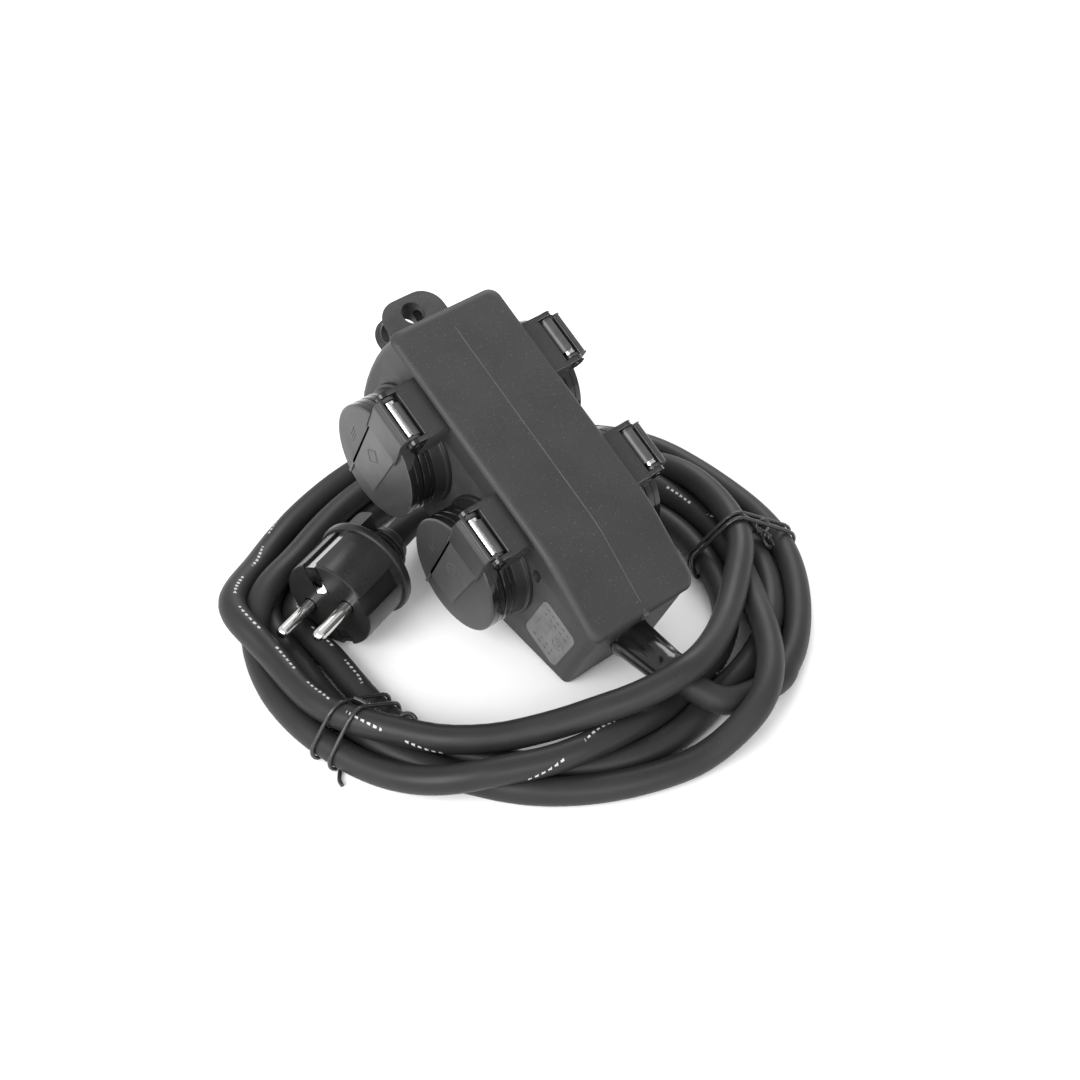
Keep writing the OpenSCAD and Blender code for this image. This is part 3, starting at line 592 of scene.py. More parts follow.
# ---------------------------------------------------------------- casing
ROOF_LEN, NOSE_LEN, NOSE_DROP = 97.5, 34.0, math.radians(14)
ROOF_W, LIP_OUT, LIP_T = 49.2, 1.3, 2.6
CASE_DEPTH, BASE_W, WALL = 62.0, 45.6, 4.0
NOSE_Y, NOSE_Z = -NOSE_LEN*math.cos(NOSE_DROP), -NOSE_LEN*math.sin(NOSE_DROP)
TOE = (NOSE_Y - 2.4, NOSE_Z - 41.5)


def half_width(z):
    return ROOF_W/2 - LIP_OUT + (BASE_W/2 - ROOF_W/2 + LIP_OUT)*min(1, max(0, -z/CASE_DEPTH))


def side_outline(inset):
    t = inset
    bulge = [(98.2 - t, -6, 0), (100.2 - t, -14, 0), (101.2 - t, -22, 0), (101.5 - t, -30, 0),
             (101.2 - t, -38, 0), (100.2 - t, -46, 0)]
    return rounded_corners(
        [(NOSE_Y + t, NOSE_Z - 0.6 - t*1.15, 0), (0, -0.6 - t, 0), (96.8 - t, -0.6 - t, 0)] + bulge
        + [(96 - t, -CASE_DEPTH + t, max(1, 7 - t)), (0, -CASE_DEPTH + t, 0), (TOE[0] + t*1.05, TOE[1] + t*0.95,
                        max(1, 3 - t))])


def casing_body():
    # the side outline draws in towards each side, which rounds every edge of the side walls
    rounding = [(0.0, 3.3), (0.1, 2.4), (0.4, 1.55), (0.9, 0.85), (1.6, 0.35), (2.4, 0.08), (3.3, 0.0)]
    steps = [(-1, back, inset) for back, inset in rounding] + [(1, back, inset) for back,
                    inset in rounding[::-1]]
    walls = loft([[(s*(half_width(z) - back), y, z) for y, z in side_outline(inset)] for s, back,
                  inset in steps])
    inner = side_outline(4.6)
    tools = [prism(lambda s: [(s*18.8, y, z) for y, z in inner], -1, 1)]
    tools += [slab(-20.5, 20.5, 2, 92.5, -70, -58, 3), slab(-18.8, 18.8, 3.7, 90.8, -60, -50)]
    for y in SOCKET_Y[:2]:
        tools.append(rod((-40, y, -SOCKET_DROP), (40, y, -SOCKET_DROP), 43.0, 96))
    tools.append(prism(lambda x: [(x, a, b) for a, b in rounded_corners(
        [(-27.9, -47, 3), (-8.9, -47, 3), (-8.9, -21, 3), (-27.9, -21, 3)])], -30, -22.45))
    tools.append(prism(lambda x: [(x, a, b) for a, b in rounded_corners(
        [(-3.3, -19.6, 1.9), (0.7, -19.6, 1.9), (1.0, -13.4, 1.9), (-3.0, -13.4, 1.9)])], -30, -18))
    mouth = Vector((0, (NOSE_Y + TOE[0])/2, (NOSE_Z + TOE[1])/2))
    ahead = Vector((0, -math.cos(TIP_UP), math.sin(TIP_UP)))
    tools.append(rod(mouth - ahead*14, mouth + ahead*14, 15.2))
    return cut(walls, tools)


def roof_line(y):
    """height of the roof along the box, with a soft bend where the nose starts"""
    slope = math.tan(NOSE_DROP)
    soft = 7.0
    if y >= soft:
        return 0.0
    if y <= -soft:
        return slope*y
    return -slope*(soft - y)**2/(4*soft)


def casing_roof():
    y0, y1 = NOSE_Y - 1.2, ROOF_LEN + 1.0
    outline = rounded_corners([(-ROOF_W/2, y0, 4.6), (ROOF_W/2, y0, 4.6), (ROOF_W/2, y1, 4.6),
                    (-ROOF_W/2, y1, 4.6)], 8)
    levels = [(-LIP_T, 0.5), (-LIP_T + 0.5, 0.0), (-2.05, 0.02), (-1.5, 0.18), (-0.95, 0.55), (-0.5, 1.05),
              (-0.2, 1.7), (-0.04, 2.4), (0.0, 3.1)]

    def ring(z, inset):
        fx, fy = (ROOF_W/2 - inset)/(ROOF_W/2), ((y1 - y0)/2 - inset)/((y1 - y0)/2)
        cy = (y0 + y1)/2
        return [(x*fx, cy + (y - cy)*fy, z) for x, y in outline]
    bm = loft([ring(z, i) for z, i in levels])
    for y in (-21, -14, -9, -7, -5.5, -4, -2.5, -1, 0.5, 2, 3.5, 5, 7, 9, 14, 30, 50, 70):
        bmesh.ops.bisect_plane(bm, geom=bm.verts[:] + bm.edges[:] + bm.faces[:], plane_co=(0, y, 0),
                        plane_no=(0, 1, 0))
    for v in bm.verts:
        v.co.z += roof_line(v.co.y)
    return bm


def parting_line():
    """the mould's raised parting line down the middle of the roof, ending in a small notch pip"""
    ys = list(np.linspace(ROOF_LEN + 0.4, 12, 8)) + list(np.linspace(9, -9, 13)) + list(np.linspace(-12,
                    NOSE_Y - 0.2, 5))
    rings = []
    for y in ys:
        z = roof_line(y)
        edge = 0.0 if NOSE_Y + 1 < y < ROOF_LEN - 1.5 else -0.35
        rings.append([(-0.42, y, z - 0.12 + edge), (-0.16, y, z + 0.13 + edge), (0.16, y, z + 0.13 + edge),
                      (0.42, y, z - 0.12 + edge), (0, y, z - 0.5 + edge)])
    line = loft(rings)
    pip = soften(slab(-1.0, 1.0, NOSE_Y - 1.5, NOSE_Y + 0.2, NOSE_Z - 2.9, NOSE_Z - 0.9), 0.3, 2)
    return together(line, pip)


def hanging_eye():
    outline = rounded_corners([(-12, 93.5, 0), (12, 93.5, 0), (12, 115, 7.5), (-12, 115, 7.5)], 10)
    eye = prism(lambda z: [(x, y, z) for x, y in outline], -31, -19)
    soften(eye, 1.5, 4, 40)
    return cut(eye, [rod((0, 109, -40), (0, 109, 0), 9, 64), rod((-30, 108.5, -25), (30, 108.5, -25), 6.5, 64)])


piece("casing_skin", together(casing_body(), casing_roof(), hanging_eye()), BOX, CASING_RUBBER, "box",
      ["casing", "casing_side_1", "casing_side_2"])
piece("roof_parting_line", parting_line(), BOX, CASING_RUBBER, "box")

# ---------------------------------------------------------------- sockets: barrels, rings, lids, hinges
HINGE_X, HINGE_Z = 36.8, -6.5
BARREL_END, RING_END, LID_BACK, LID_R = 29.6, 34.4, 34.8, 22.7
ROLL_HALF = 7.5
TIE_R = 0.75
ALONG = (1, 0, 0)


def round_socket(profile, sides=96):
    return turned(profile, (0, 0, -SOCKET_DROP), ALONG, sides)


def round_plug(profile, sides=128, at=(0, 0, 0)):
    return turned(profile, at, ALONG, sides)




def barrel():
    profile = [(18.9, 20.9), (18.9, 21.45), (23.0, 21.45), (23.0, 24.0), (24.2, 24.0), (24.6, 23.75),
               (24.75, 23.3), (25.4, 22.85), (29.2, 22.6),
               (29.5, 22.4), (29.6, 22.1), (29.6, 20.9)]
    return round_socket(profile)


def ring():
    """collar with fine grooves, and the hinge block with its two cheeks"""
    collar = round_socket([(BARREL_END, 20.85), (BARREL_END, 22.4), (29.8, 22.65), (30.0, 22.7), (31.6, 22.7),
                    (31.75, 22.5), (31.95, 22.5), (32.1, 22.7),
                     (33.9, 22.7), (34.2, 22.6), (RING_END, 22.3), (RING_END, 20.85)])
    shape = [(23.2, -4), (33.0, -4), (33.0, -10.5), (34.3, -12.2), (34.3, -18.5), (23.2, -18.5)]
    block = prism(lambda y: [(x, y, z) for x, z in shape], -11.3, 11.3)
    soften(block, 0.45, 3, 30)
    block = cut(block, [rod((10, 0, -SOCKET_DROP), (40, 0, -SOCKET_DROP), 2*21.6, 96),
                        rod((10, 0, -SOCKET_DROP), (24.9, 0, -SOCKET_DROP), 2*24.1, 96),
                        rod((HINGE_X, -9.3, HINGE_Z), (HINGE_X, 9.3, HINGE_Z), 7.2, 48)])
    cheeks = []
    for s in (-1, 1):
        y0, y1 = sorted((s*9.35, s*11.25))
        cheek = prism(lambda y: [(x, y, z) for x, z in (
            [(32.0, -4.05), (36.8, -3.35)] + [(36.8 + 3.15*math.sin(t),
                            -6.5 + 3.15*math.cos(t)) for t in np.linspace(0.15, math.pi - 0.15, 12)]
            + [(36.8, -9.65), (32.0, -11.0)])], y0, y1)
        cheeks.append(soften(cheek, 0.3, 2, 40))
    return together(collar, block, *cheeks)


def lid():
    """round lid with a bevelled rim, hinge tongue, raised panel and plain marks"""
    disc = round_socket([(LID_BACK, 0.0), (LID_BACK, 22.3), (35.0, 22.6), (35.3, LID_R), (37.2, LID_R),
                    (37.35, 22.52), (37.55, 22.52), (37.7, 22.7),
                   (39.6, 22.7), (40.1, 22.55), (40.4, 22.1), (40.55, 21.4), (40.72, 12.0), (40.8, 0.0)], 128)
    side = [(34.9, -22), (35.2, -12.6), (38.2, -10.2), (39.6, -7.9), (39.6, -4.2), (40.3, -3.8), (41.4, -3.9),
            (42.5, -5.3), (42.7, -6.4),
            (42.0, -12), (41.2, -20.5), (40.9, -22)]
    tongue = soften(prism(lambda y: [(x, y, z) for x, z in side], -9, 9), 0.4, 3, 28)
    knuckles = []
    for s in (-1, 1):
        y0, y1 = sorted((s*7.8, s*9.0))
        ear = prism(lambda y: [(x, y, z) for x, z in (
            [(39.9, -9.4), (36.8, -9.35)] + [(36.8 - 2.85*math.sin(t),
                            -6.5 - 2.85*math.cos(t)) for t in np.linspace(0.1, math.pi - 0.1, 12)]
            + [(36.8, -3.65), (39.9, -5.0)])], y0, y1)
        knuckles.append(soften(ear, 0.2, 2, 40))
    # curved cover over the inner side of the closing roll
    arc = np.radians(np.linspace(80, 160, 14))
    cover = prism(lambda y: [(HINGE_X + r*math.cos(a), y, HINGE_Z + r*math.sin(a)) for r,
                    turn in ((3.35, arc), (2.72, arc[::-1])) for a in turn], -5.8, 8.0)
    middle = -SOCKET_DROP
    panel = soften(prism(lambda x: [(x, y, z) for y, z in rounded_corners(
        [(-8.3, -14.0, 0), (8.3, -14.0, 0), (5.6, middle - 13.2, 0.6),
         (-8.0, middle - 13.2, 0.6)])], 39.5, 41.15), 0.3, 2, 30)
    rib = soften(prism(lambda x: [(x, y, z) for y, z in [(-8.6, -21), (-7.9, -21), (-7.3, middle - 20.2),
                    (-8.0, middle - 20.2)]], 39.5, 41.15), 0.2, 2, 30)
    # a plain diamond and three bars in low relief
    marks = []
    for k in range(4):
        a, b = math.pi/2*k, math.pi/2*(k + 1)
        p, q = Vector((41.1, 3.1*math.cos(a) - 1.2, 4.0*math.sin(a) + middle + 3)), Vector((41.1,
                        3.1*math.cos(b) - 1.2, 4.0*math.sin(b) + middle + 3))
        marks.append(rod(p, q, 0.5, 8))
    for k in range(3):
        marks.append(rod((40.65, -14.4 + 1.1*k, middle - 2 - k), (40.65, -14.4 + 1.1*k, middle + 3 - k), 0.45,
                        8))
    return together(disc, tongue, cover, panel, rib, *knuckles, *marks)


def closing_roll():
    """bright rolled sleeve over the hinge pin, with a turned ring near each end"""
    half = ROLL_HALF
    body = turned([(-half, 1.2), (-half, 2.2), (-half + 0.2, 2.45), (-half + 0.9, 2.5), (-half + 1.0, 2.3),
                   (-half + 1.25, 2.3), (-half + 1.35, 2.5),
                   (half - 1.35, 2.5), (half - 1.25, 2.3), (half - 1.0, 2.3), (half - 0.9, 2.5), (half - 0.2,
                                   2.45), (half, 2.2), (half, 1.2)],
                  (HINGE_X, 0, HINGE_Z), (0, 1, 0), 48)
    leg = rod((HINGE_X - 2.1, -half + 0.8, HINGE_Z - 1.2), (HINGE_X - 3.4, -half + 0.8, HINGE_Z - 2.0), 0.9, 12)
    return together(body, leg)


def hinge_pin():
    profile = [(-11.3, 0.0), (-11.3, 0.8), (-11.1, 1.05), (-10.8, 1.1), (10.8, 1.1), (11.1, 1.05), (11.3, 0.8),
               (11.3, 0.0)]
    return turned(profile, (HINGE_X, 0, HINGE_Z), (0, 1, 0), 32)


for number in (1, 2, 3, 4):
    at = socket_frame(number)
    piece(f"barrel_skin_{number}", barrel(), at, BARREL_RUBBER, "box", [f"barrel_{number}"])
    piece(f"lid_ring_{number}", ring(), at, [BLOCK_PLASTIC, GLOSS_BLACK], "box",
          [f"socket_ring_{number}"],
          choose=lambda f: 0 if f.calc_center_median().z > -11.9 and f.calc_center_median().x < 36 else 1)
    piece(f"lid_skin_{number}", lid(), at, [LID_FACE, GLOSS_BLACK], f"lid_{number}",
          [f"lid_{number}"],
          choose=lambda f: 1 if abs(f.normal.x) < 0.8 and math.hypot(f.calc_center_median().y,
                          f.calc_center_median().z + SOCKET_DROP) > 21.0
          and f.calc_center_median().x < 40.2 and f.calc_center_median().z < -13 else 0)
    piece(f"closing_roll_{number}", closing_roll(), at, ROLL_STEEL, "box", [f"spring_{number}"])
    piece(f"hinge_pin_round_{number}", hinge_pin(), at, NICKEL, "box", [f"hinge_pin_{number}"])

# ---------------------------------------------------------------- geometry node trees
def geometry_tree(name, inputs):
    tree = bpy.data.node_groups.new(name, "GeometryNodeTree")
    tree.interface.new_socket("Geometry", in_out="INPUT", socket_type="NodeSocketGeometry")
    names = {}
    for label, kind, value in inputs:
        socket = tree.interface.new_socket(label, in_out="INPUT", socket_type=kind)
        if value is not None:
            socket.default_value = value
        names[label] = socket.identifier
    tree.interface.new_socket("Geometry", in_out="OUTPUT", socket_type="NodeSocketGeometry")
    return tree, tree.nodes.new("NodeGroupInput"), tree.nodes.new("NodeGroupOutput"), names


def wire_tree():
    """sweeps a round section along the curve it is put on"""
    tree, start, end, names = geometry_tree("round_wire", [
        ("Radius", "NodeSocketFloat", 0.0007), ("Sides", "NodeSocketInt", 10), ("Material", "NodeSocketMaterial",
                        None)])
    section = tree.nodes.new("GeometryNodeCurvePrimitiveCircle")
    sweep = tree.nodes.new("GeometryNodeCurveToMesh")
    sweep.inputs["Fill Caps"].default_value = True
    real = tree.nodes.new("GeometryNodeRealizeInstances")
    paint = tree.nodes.new("GeometryNodeSetMaterial")
    link = tree.links.new
    link(start.outputs["Radius"], section.inputs["Radius"])
    link(start.outputs["Sides"], section.inputs["Resolution"])
    link(start.outputs["Geometry"], sweep.inputs["Curve"])
    link(section.outputs["Curve"], sweep.inputs["Profile Curve"])
    link(sweep.outputs["Mesh"], real.inputs[0])
    link(real.outputs[0], paint.inputs["Geometry"])
    link(start.outputs["Material"], paint.inputs["Material"])
    link(paint.outputs[0], end.inputs[0])
    return tree, names


def bars_tree():
    """rows of plain raised bars with lengths that vary from a fixed seed"""
    tree, start, end, names = geometry_tree("plate_bars", [
        ("Columns", "NodeSocketInt", 4), ("Rows", "NodeSocketInt", 3), ("Width", "NodeSocketFloat",
                        0.008), ("Height", "NodeSocketFloat", 0.008),
        ("Seed", "NodeSocketInt", 3), ("Material", "NodeSocketMaterial", None)])
    grid = tree.nodes.new("GeometryNodeMeshGrid")
    stamp = tree.nodes.new("GeometryNodeInstanceOnPoints")
    spread = tree.nodes.new("FunctionNodeRandomValue")
    spread.data_type = "FLOAT_VECTOR"
    spread.inputs[0].default_value, spread.inputs[1].default_value = (0.55, 0.7, 1.0), (1.1, 1.2, 1.0)
    real = tree.nodes.new("GeometryNodeRealizeInstances")
    paint = tree.nodes.new("GeometryNodeSetMaterial")
    link = tree.links.new
    link(start.outputs["Width"], grid.inputs["Size X"])
    link(start.outputs["Height"], grid.inputs["Size Y"])
    link(start.outputs["Columns"], grid.inputs["Vertices X"])
    link(start.outputs["Rows"], grid.inputs["Vertices Y"])
    link(grid.outputs["Mesh"], stamp.inputs["Points"])
    link(start.outputs["Geometry"], stamp.inputs["Instance"])
    link(start.outputs["Seed"], spread.inputs["Seed"])
    link(spread.outputs[0], stamp.inputs["Scale"])
    link(stamp.outputs[0], real.inputs[0])
    link(real.outputs[0], paint.inputs["Geometry"])
    link(start.outputs["Material"], paint.inputs["Material"])
    link(paint.outputs[0], end.inputs[0])
    return tree, names


WIRES, BARS = wire_tree(), bars_tree()


def grown(host, tree_and_names, **values):
    """runs a tree on a scratch object and gives back the result as a bmesh"""
    tree, names = tree_and_names
    step = host.modifiers.new("grow", "NODES")
    step.node_group = tree
    for label, value in values.items():
        step[names[label]] = value
    bpy.context.view_layer.update()
    return taken_back(host)


def wire(lines, radius, material, sides=10):
    """round wires, in millimetres, along lines of points"""
    data = bpy.data.curves.new("scratch", "CURVE")
    data.dimensions = "3D"
    for points in lines:
        fine = through(points, 1.0)
        spline = data.splines.new("POLY")
        spline.points.add(len(fine) - 1)
        spline.points.foreach_set("co", np.hstack([fine, np.ones((len(fine), 1))]).ravel())
    host = bpy.data.objects.new("scratch", data)
    bpy.context.scene.collection.objects.link(host)
    return grown(host, WIRES, Radius=radius, Sides=sides, Material=material)


# ---------------------------------------------------------------- rating plate with plain relief
def rating_plate():
    outline = rounded_corners([(-27.6, -46.7, 2.8), (-9.2, -46.7, 2.8), (-9.2, -21.3, 2.8), (-27.6, -21.3, 2.8)],
                    8)
    plate = soften(prism(lambda x: [(x, y, z) for y, z in outline], -23.05, -22.0), 0.2, 2, 40)
    parts = [plate]
    bar = slab(-0.7, 0.7, -0.35, 0.35, -0.15, 0.15)
    soften(bar, 0.08, 1, 40)
    face = Matrix(((0, 0, -1, -23.1), (-1, 0, 0, -18.4), (0, 1, 0, 0), (0, 0, 0, 1)))
    for middle, columns, rows, width, height, seed in ((-26.2, 5, 2, 11.5, 3.2, 5), (-42.4, 4, 2, 9.0, 2.8, 9)):
        grid = grown(scratch(bar.copy()), BARS, Columns=columns, Rows=rows, Width=width, Height=height,
                     Seed=seed, Material=PLATE_RUBBER)
        grid.transform(Matrix.Translation((0, 0, middle)) @ face)
        parts.append(grid)
    bar.free()
    for r in (2.9, 1.3):
        parts.append(turned([(-0.15, r - 0.3), (0.15, r - 0.3), (0.15, r), (-0.15, r)], (-23.1, -23.2, -34.2),
                        (1, 0, 0), 32))
    frame_line = [(-17.4, -37.6), (-11.8, -37.6), (-11.8, -30.8), (-17.4, -30.8)]
    for (a, b), (c, d) in zip(frame_line, frame_line[1:] + frame_line[:1]):
        parts.append(rod((-23.05, a, b), (-23.05, c, d), 0.42, 8))
    return together(*parts)


piece("rating_plate_relief", rating_plate(), BOX, PLATE_RUBBER, "box", ["rating_plate"])


# ---------------------------------------------------------------- strain relief
def strain_relief():
    """glossy tapered sleeve with lengthwise flutes and two collars"""
    rings = []
    for s, r, flute in ((9.5, 7.5, 0), (2.0, 7.5, 0), (0.6, 8.6, 0), (-0.4, 8.6, 0), (-1.2, 8.2, 0),
                    (-2.2, 8.0, 0.2), (-4, 7.9, 1), (-18, 7.15, 1), (-20, 7.0, 0.5),
                        (-21, 7.1, 0), (-22.6, 7.05, 0), (-23.6, 6.8, 0), (-24.0, 6.3, 0), (-24.05, 5.25,
                                        0), (-20, 5.2, 0), (9.5, 5.2, 0)):
        ring = []
        for k in range(72):
            a = 2*math.pi*k/72
            dip = flute*0.9*max(0.0, math.cos(6*a))**2 if r > 5.3 else 0
            ring.append((math.cos(a)*(r - dip), -55.1 + s, 18.65 + math.sin(a)*(r - dip)))
        rings.append(ring)
    return loft(rings, closed=True)


piece("strain_relief_sleeve", strain_relief(), TABLE, BOOT_RUBBER, "box", ["cord_boot"],
      angle=50)


# ---------------------------------------------------------------- lead
def lead_tube(path, radius, sides=20):
    """round tube with a map that runs along the lead in metres and once round it"""
    s = run_length(path)
    tangent = np.gradient(path, axis=0)
    tangent /= np.linalg.norm(tangent, axis=1)[:, None]
    up = np.array([0.0, 0.0, 1.0])
    side = np.cross(tangent, up)
    side /= np.linalg.norm(side, axis=1)[:, None]
    top = np.cross(side, tangent)
    deg = np.degrees(np.unwrap(np.arctan2(path[:, 1] - COIL_MID[1], path[:, 0] - COIL_MID[0])))
    # where the printed row shows, and how far it leans outwards there
    show = np.zeros(len(path))
    for middle, reach in ((1236, 46), (878, 34), (1092, 26), (366, 26), (622, 30)):
        show = np.maximum(show, np.clip(1.5 - np.abs(deg - middle)/reach, 0, 1))
    lean = np.radians(200*(1 - show) - 18)
    bm = bmesh.new()
    layer = bm.loops.layers.uv.new("UVMap")
    rings = []
    for i, p in enumerate(path):
        ring = []
        for k in range(sides):
            a = 2*math.pi*(k/sides - 0.5) + lean[i]
            q = p + radius*(math.cos(a)*top[i] + math.sin(a)*side[i])
            ring.append(bm.verts.new(q))
        rings.append(ring)
    for i in range(len(path) - 1):
        for k in range(sides):
            j = (k + 1) % sides
            f = bm.faces.new((rings[i][k], rings[i][j], rings[i + 1][j], rings[i + 1][k]))
            for loop, (u, v) in zip(f.loops, ((s[i], k), (s[i], k + 1), (s[i + 1], k + 1), (s[i + 1], k))):
                loop[layer].uv = (u*MM, v/sides)
    for ring, u in ((rings[0], 0), (rings[-1], s[-1])):
        f = bm.faces.new(ring)
        for loop in f.loops:
            loop[layer].uv = (u*MM, 0)
    bmesh.ops.recalc_face_normals(bm, faces=bm.faces)
    return bm


lead_line = evenly(through(lead_path, 2.0), 3.0)
lead = piece("rubber_lead", lead_tube(lead_line, LEAD/2), TABLE, LEAD_RUBBER, "box",
             ["cord_tail", "cord_coil", "plug_lead"], angle=60, even=False)

# ---------------------------------------------------------------- plug
PLUG = METRES @ Matrix.Translation(PLUG_AT) @ Matrix.Rotation(math.radians(PLUG_YAW), 4,
                "Z") @ Matrix.Rotation(math.radians(PLUG_ROLL), 4, "X")


def plug_body():
    front = round_plug([(-22.0, 0.0), (-22.0, 18.5), (-0.9, 18.5), (-0.35, 18.3), (0.0, 17.7), (0.0, 0.0)])
    tools = [slab(-21.5, 2, -2.8, 2.8, 16.3, 22, 0), slab(-21.5, 2, -2.8, 2.8, -22, -16.6, 0)]
    for s in (-1, 1):
        y0, y1 = sorted((s*16.9, s*22))
        tools.append(slab(-18.5, 2, y0, y1, -4, 4, 0))
        tools.append(rod((-3, s*9.5, 0), (2, s*9.5, 0), 5.6, 32))
    tools += [rod((-9, 0, 10.2), (2, 0, 10.2), 4.8, 40), slab(-1.2, 2, -3.3, 3.3, 5.2, 22, 0),
              prism(lambda x: [(x, y, z) for y, z in ((-2.6, -15.2), (2.6, -15.2), (2.6, -11.6), (-2.6, -11.6))],
                    -0.5, 2)]
    front = cut(front, tools)
    flange = round_plug([(-24.9, 12.0), (-24.9, 19.3), (-24.5, 19.8), (-24.0, 20.0), (-22.4, 20.0),
                    (-21.8, 19.8), (-21.4, 19.2), (-21.3, 12.0)])
    grip = round_plug([(-24.5, 5.3), (-24.5, 12.4), (-27.0, 12.0), (-31.0, 10.4), (-35.0, 8.9), (-38.6, 7.9),
                    (-39.5, 7.4), (-39.9, 6.6), (-39.9, 5.3)], 64)
    ribs = []
    for k in range(4):
        x, r = -27.4 - 2.6*k, 12.1 - 0.95*k
        ribs.append(round_plug([(x - 0.55, r - 1.2), (x - 0.55, r + 0.15), (x - 0.25, r + 0.45),
                        (x + 0.25, r + 0.45), (x + 0.55, r + 0.15), (x + 0.55, r - 1.2)], 64))
    lug = soften(slab(-34.6, -24.4, -3, 3, 9, 17, 1.0), 0.7, 3, 40)
    return together(front, flange, grip, lug, *ribs)


def plug_pins():
    out = []
    for s in (-1, 1):
        out.append(round_plug([(-3, 0), (-3, 2.4), (16.6, 2.4), (17.6, 2.25), (18.4, 1.85), (18.85, 1.2),
                        (19.0, 0.0)], 40, (0, s*PIN_Y, 0)))
    return together(*out)


plug = piece("plug_moulding", plug_body(), PLUG, PLUG_RUBBER, "box", ["plug_body"])
pins = piece("plug_round_pins", plug_pins(), PLUG, NICKEL, "box", ["plug_pins"])


# ---------------------------------------------------------------- wire ties round the coil
def section(angle):
    """(radius, height) of every turn of the lead that crosses a plane through the coil's middle"""
    w = math.radians(angle)
    out = np.array([math.cos(w), math.sin(w)])
    q = lead_line[:, :2] - np.array(COIL_MID)
    r = q @ out
    t = q @ np.array([-out[1], out[0]])
    found = []
    for i in range(len(t) - 1):
        if r[i] > 40 and t[i]*t[i + 1] <= 0 and t[i] != t[i + 1]:
            f = t[i]/(t[i] - t[i + 1])
            found.append((r[i] + f*(r[i + 1] - r[i]),
                          lead_line[i, 2] + f*(lead_line[i + 1, 2] - lead_line[i, 2])))
    return found


def hoop(angle, lean=0.0, loose=0.9, turn=(-40, 320), keep=lambda r, z: True):
    """points of a wire hoop pulled round the turns at an angle"""
    turns = [p for p in section(angle) if keep(*p)]
    points = []
    for a in np.radians(np.linspace(turn[0], turn[1], 40)):
        d = np.array([math.cos(a), math.sin(a)])
        best = max(turns, key=lambda p: p[0]*d[0] + p[1]*d[1])
        r, z = best[0] + d[0]*(LEAD/2 + loose), max(0.75, best[1] + d[1]*(LEAD/2 + loose))
        w = math.radians(angle + lean*math.sin(a))
        points.append((COIL_MID[0] + r*math.cos(w), COIL_MID[1] + r*math.sin(w), z))
    return points


def at_angle(angle, r, z):
    w = math.radians(angle)
    return (COIL_MID[0] + r*math.cos(w), COIL_MID[1] + r*math.sin(w), z)


def twisted(a, b, turns, spread, parts=2):
    """wires twisted together between two points"""
    a, b = Vector(a), Vector(b)
    n = (b - a).normalized()
    u = n.orthogonal().normalized()
    v = n.cross(u)
    out = []
    for k in range(parts):
        line = []
        for t in np.linspace(0, 1, 6*turns + 1):
            w = 2*math.pi*(turns*t + k/parts)
            line.append(tuple(a + (b - a)*t + (u*math.cos(w) + v*math.sin(w))*spread))
        out.append(line)
    return out


def ring_of(centre, normal, r, start=0.0, sweep=1.8):
    n = Vector(normal).normalized()
    u = n.orthogonal().normalized()
    v = n.cross(u)
    return [tuple(Vector(centre) + (u*math.cos(a) + v*math.sin(a))*r) for a in np.linspace(start,
                    start + sweep*math.pi, 14)]


def tie_left():
    inner = max(section(189), key=lambda p: p[1])[0] - LEAD/2
    lines = [hoop(184), hoop(188.5)]
    knot_a, knot_b = at_angle(189.5, inner - 0.8, 16), at_angle(196, inner - 1.4, 15)
    lines += twisted(knot_a, knot_b, 3, 0.75)
    lines.append(ring_of(at_angle(198.5, inner - 3.0, 16.5), (0.4, 0.5, -0.7), 3.2))
    lines.append([at_angle(188.5, inner + 2, 18), at_angle(189, inner + 0.4, 17.4), knot_a])
    lines.append([at_angle(184, inner + 1, 18), at_angle(186.5, inner - 0.2, 17.6), knot_a])
    outer = max(p[0] for p in section(190)) + LEAD/2
    lines.append([at_angle(189, outer - 3, 1.0), at_angle(191, outer + 1.5, 1.0), at_angle(192.5, outer + 3.0,
                    1.2)])
    return wire(lines, TIE_R, TIE_COAT)


def tie_right():
    top = max(section(-20), key=lambda p: p[1])
    knot_a, knot_b = at_angle(-20, top[0] + 8.5, top[1] - 4), at_angle(-22, top[0] + 13.5, top[1] - 7)
    lines = [hoop(-19), hoop(-21.2)]
    lines += twisted(knot_a, knot_b, 2, 1.0)
    lines.append([at_angle(-20, top[0] + 2, top[1] + 6.0), at_angle(-20, top[0] + 6.2, top[1] + 1.5), knot_a])
    lines.append(ring_of(at_angle(-20.5, top[0] + 11, top[1] - 2), (0.5, 0.5, -0.6), 2.4))
    lines.append(ring_of(at_angle(-22.5, top[0] + 12, top[1] - 8), (0.6, -0.4, 0.6), 2.8))
    lines.append([knot_b, at_angle(-23, top[0] + 15, top[1] - 10), at_angle(-25, top[0] + 15.5, top[1] - 13),
                  at_angle(-26, top[0] + 14.5, top[1] - 15)])
    inner = min(p[0] for p in section(-22)) - LEAD/2
    lines.append([at_angle(-21, inner + 2, 11.5), at_angle(-22.5, inner - 1.4, 10), at_angle(-25, inner - 1.8,
                    6), at_angle(-25.5, inner, 2.4), at_angle(-23, inner + 1.5, 3)])
    return wire(lines, TIE_R, TIE_COAT)


left_tie = piece("left_wire_tie", tie_left(), TABLE, TIE_COAT, "box", ["tie_left"], angle=60,
                even=False)
right_tie = piece("right_wire_tie", tie_right(), TABLE, TIE_COAT, "box", ["tie_right"], angle=60,
                even=False)

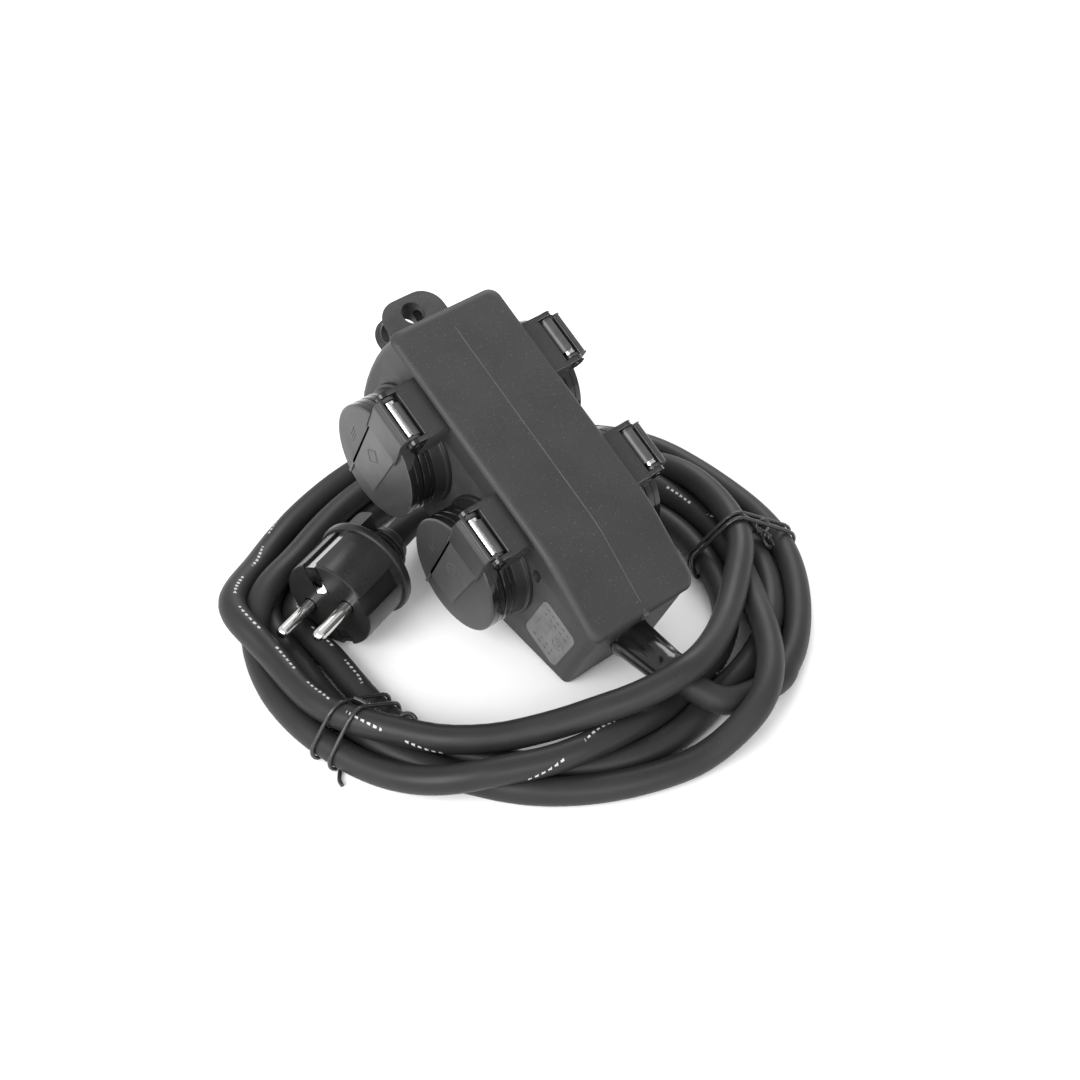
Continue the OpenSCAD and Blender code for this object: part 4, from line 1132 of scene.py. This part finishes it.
# ---------------------------------------------------------------- finishes of the parts that keep their CAD shape
KEPT = {"base_cover": COVER_PLASTIC, "base_seal": SEAL_RUBBER, "base_screws": SCREW_STEEL, "phase_bar": BRASS,
        "neutral_bar": BRASS, "earth_bar": BRASS,
        "phase_wire": WIRE_BROWN, "neutral_wire": WIRE_BLUE, "earth_wire": WIRE_GREEN, "cord_clamp": COVER_PLASTIC, "clamp_screws": SCREW_STEEL,
        "plug_earth": NICKEL, "plug_screw": SCREW_STEEL}
for number in (1, 2, 3, 4):
    KEPT.update({f"socket_cup_{number}": COVER_PLASTIC, f"earth_clip_{number}": NICKEL,
                 f"contacts_{number}": BRASS, f"lid_seal_{number}": SEAL_RUBBER})
for name, material in KEPT.items():
    part = bpy.data.objects[name]
    if not part.material_slots:
        part.data.materials.append(material)
    for held in part.material_slots:
        held.material = material


# ---------------------------------------------------------------- studio
def make_studio():
    scene = bpy.context.scene
    scene.view_settings.view_transform = "Standard"
    world = bpy.data.worlds.new("studio_world")
    scene.world = world
    world.use_nodes = True
    world.node_tree.nodes["Background"].inputs[0].default_value = (1, 1, 1, 1)
    world.node_tree.nodes["Background"].inputs[1].default_value = 0.85
    bm = slab(-3000, 3000, -3000, 3000, -20, 0, 200)
    mesh = bpy.data.meshes.new("studio_floor")
    bm.transform(METRES)
    bmesh.ops.recalc_face_normals(bm, faces=bm.faces)
    bm.to_mesh(mesh)
    bm.free()
    floor = bpy.data.objects.new("studio_floor", mesh)
    scene.collection.objects.link(floor)
    paint = bpy.data.materials.new("studio_paper")
    paint.use_nodes = True
    skin = paint.node_tree.nodes["Principled BSDF"]
    noise = add(paint.node_tree, "ShaderNodeTexNoise", Scale=3.0)
    paint.node_tree.links.new(ramp(paint.node_tree, noise.outputs[0], 0.0, 1.0, 0.88, 0.92),
                    skin.inputs["Base Color"])
    skin.inputs["Roughness"].default_value = 0.9
    mesh.materials.append(paint)
    for name, where, size, power in (("left_softbox", (-1.0, -0.15, 0.75), 0.8, 17),
                    ("front_softbox", (-0.4, -1.1, 0.6), 0.7, 8),
                                     ("back_softbox", (0.8, 0.7, 0.9), 0.7, 10)):
        data = bpy.data.lights.new(name, "AREA")
        data.shape, data.size, data.energy = "SQUARE", size, power
        lamp = bpy.data.objects.new(name, data)
        scene.collection.objects.link(lamp)
        lamp.location = where
        lamp.rotation_euler = (Vector((0, 0, 0.04)) - Vector(where)).to_track_quat("-Z", "Y").to_euler()


make_studio()
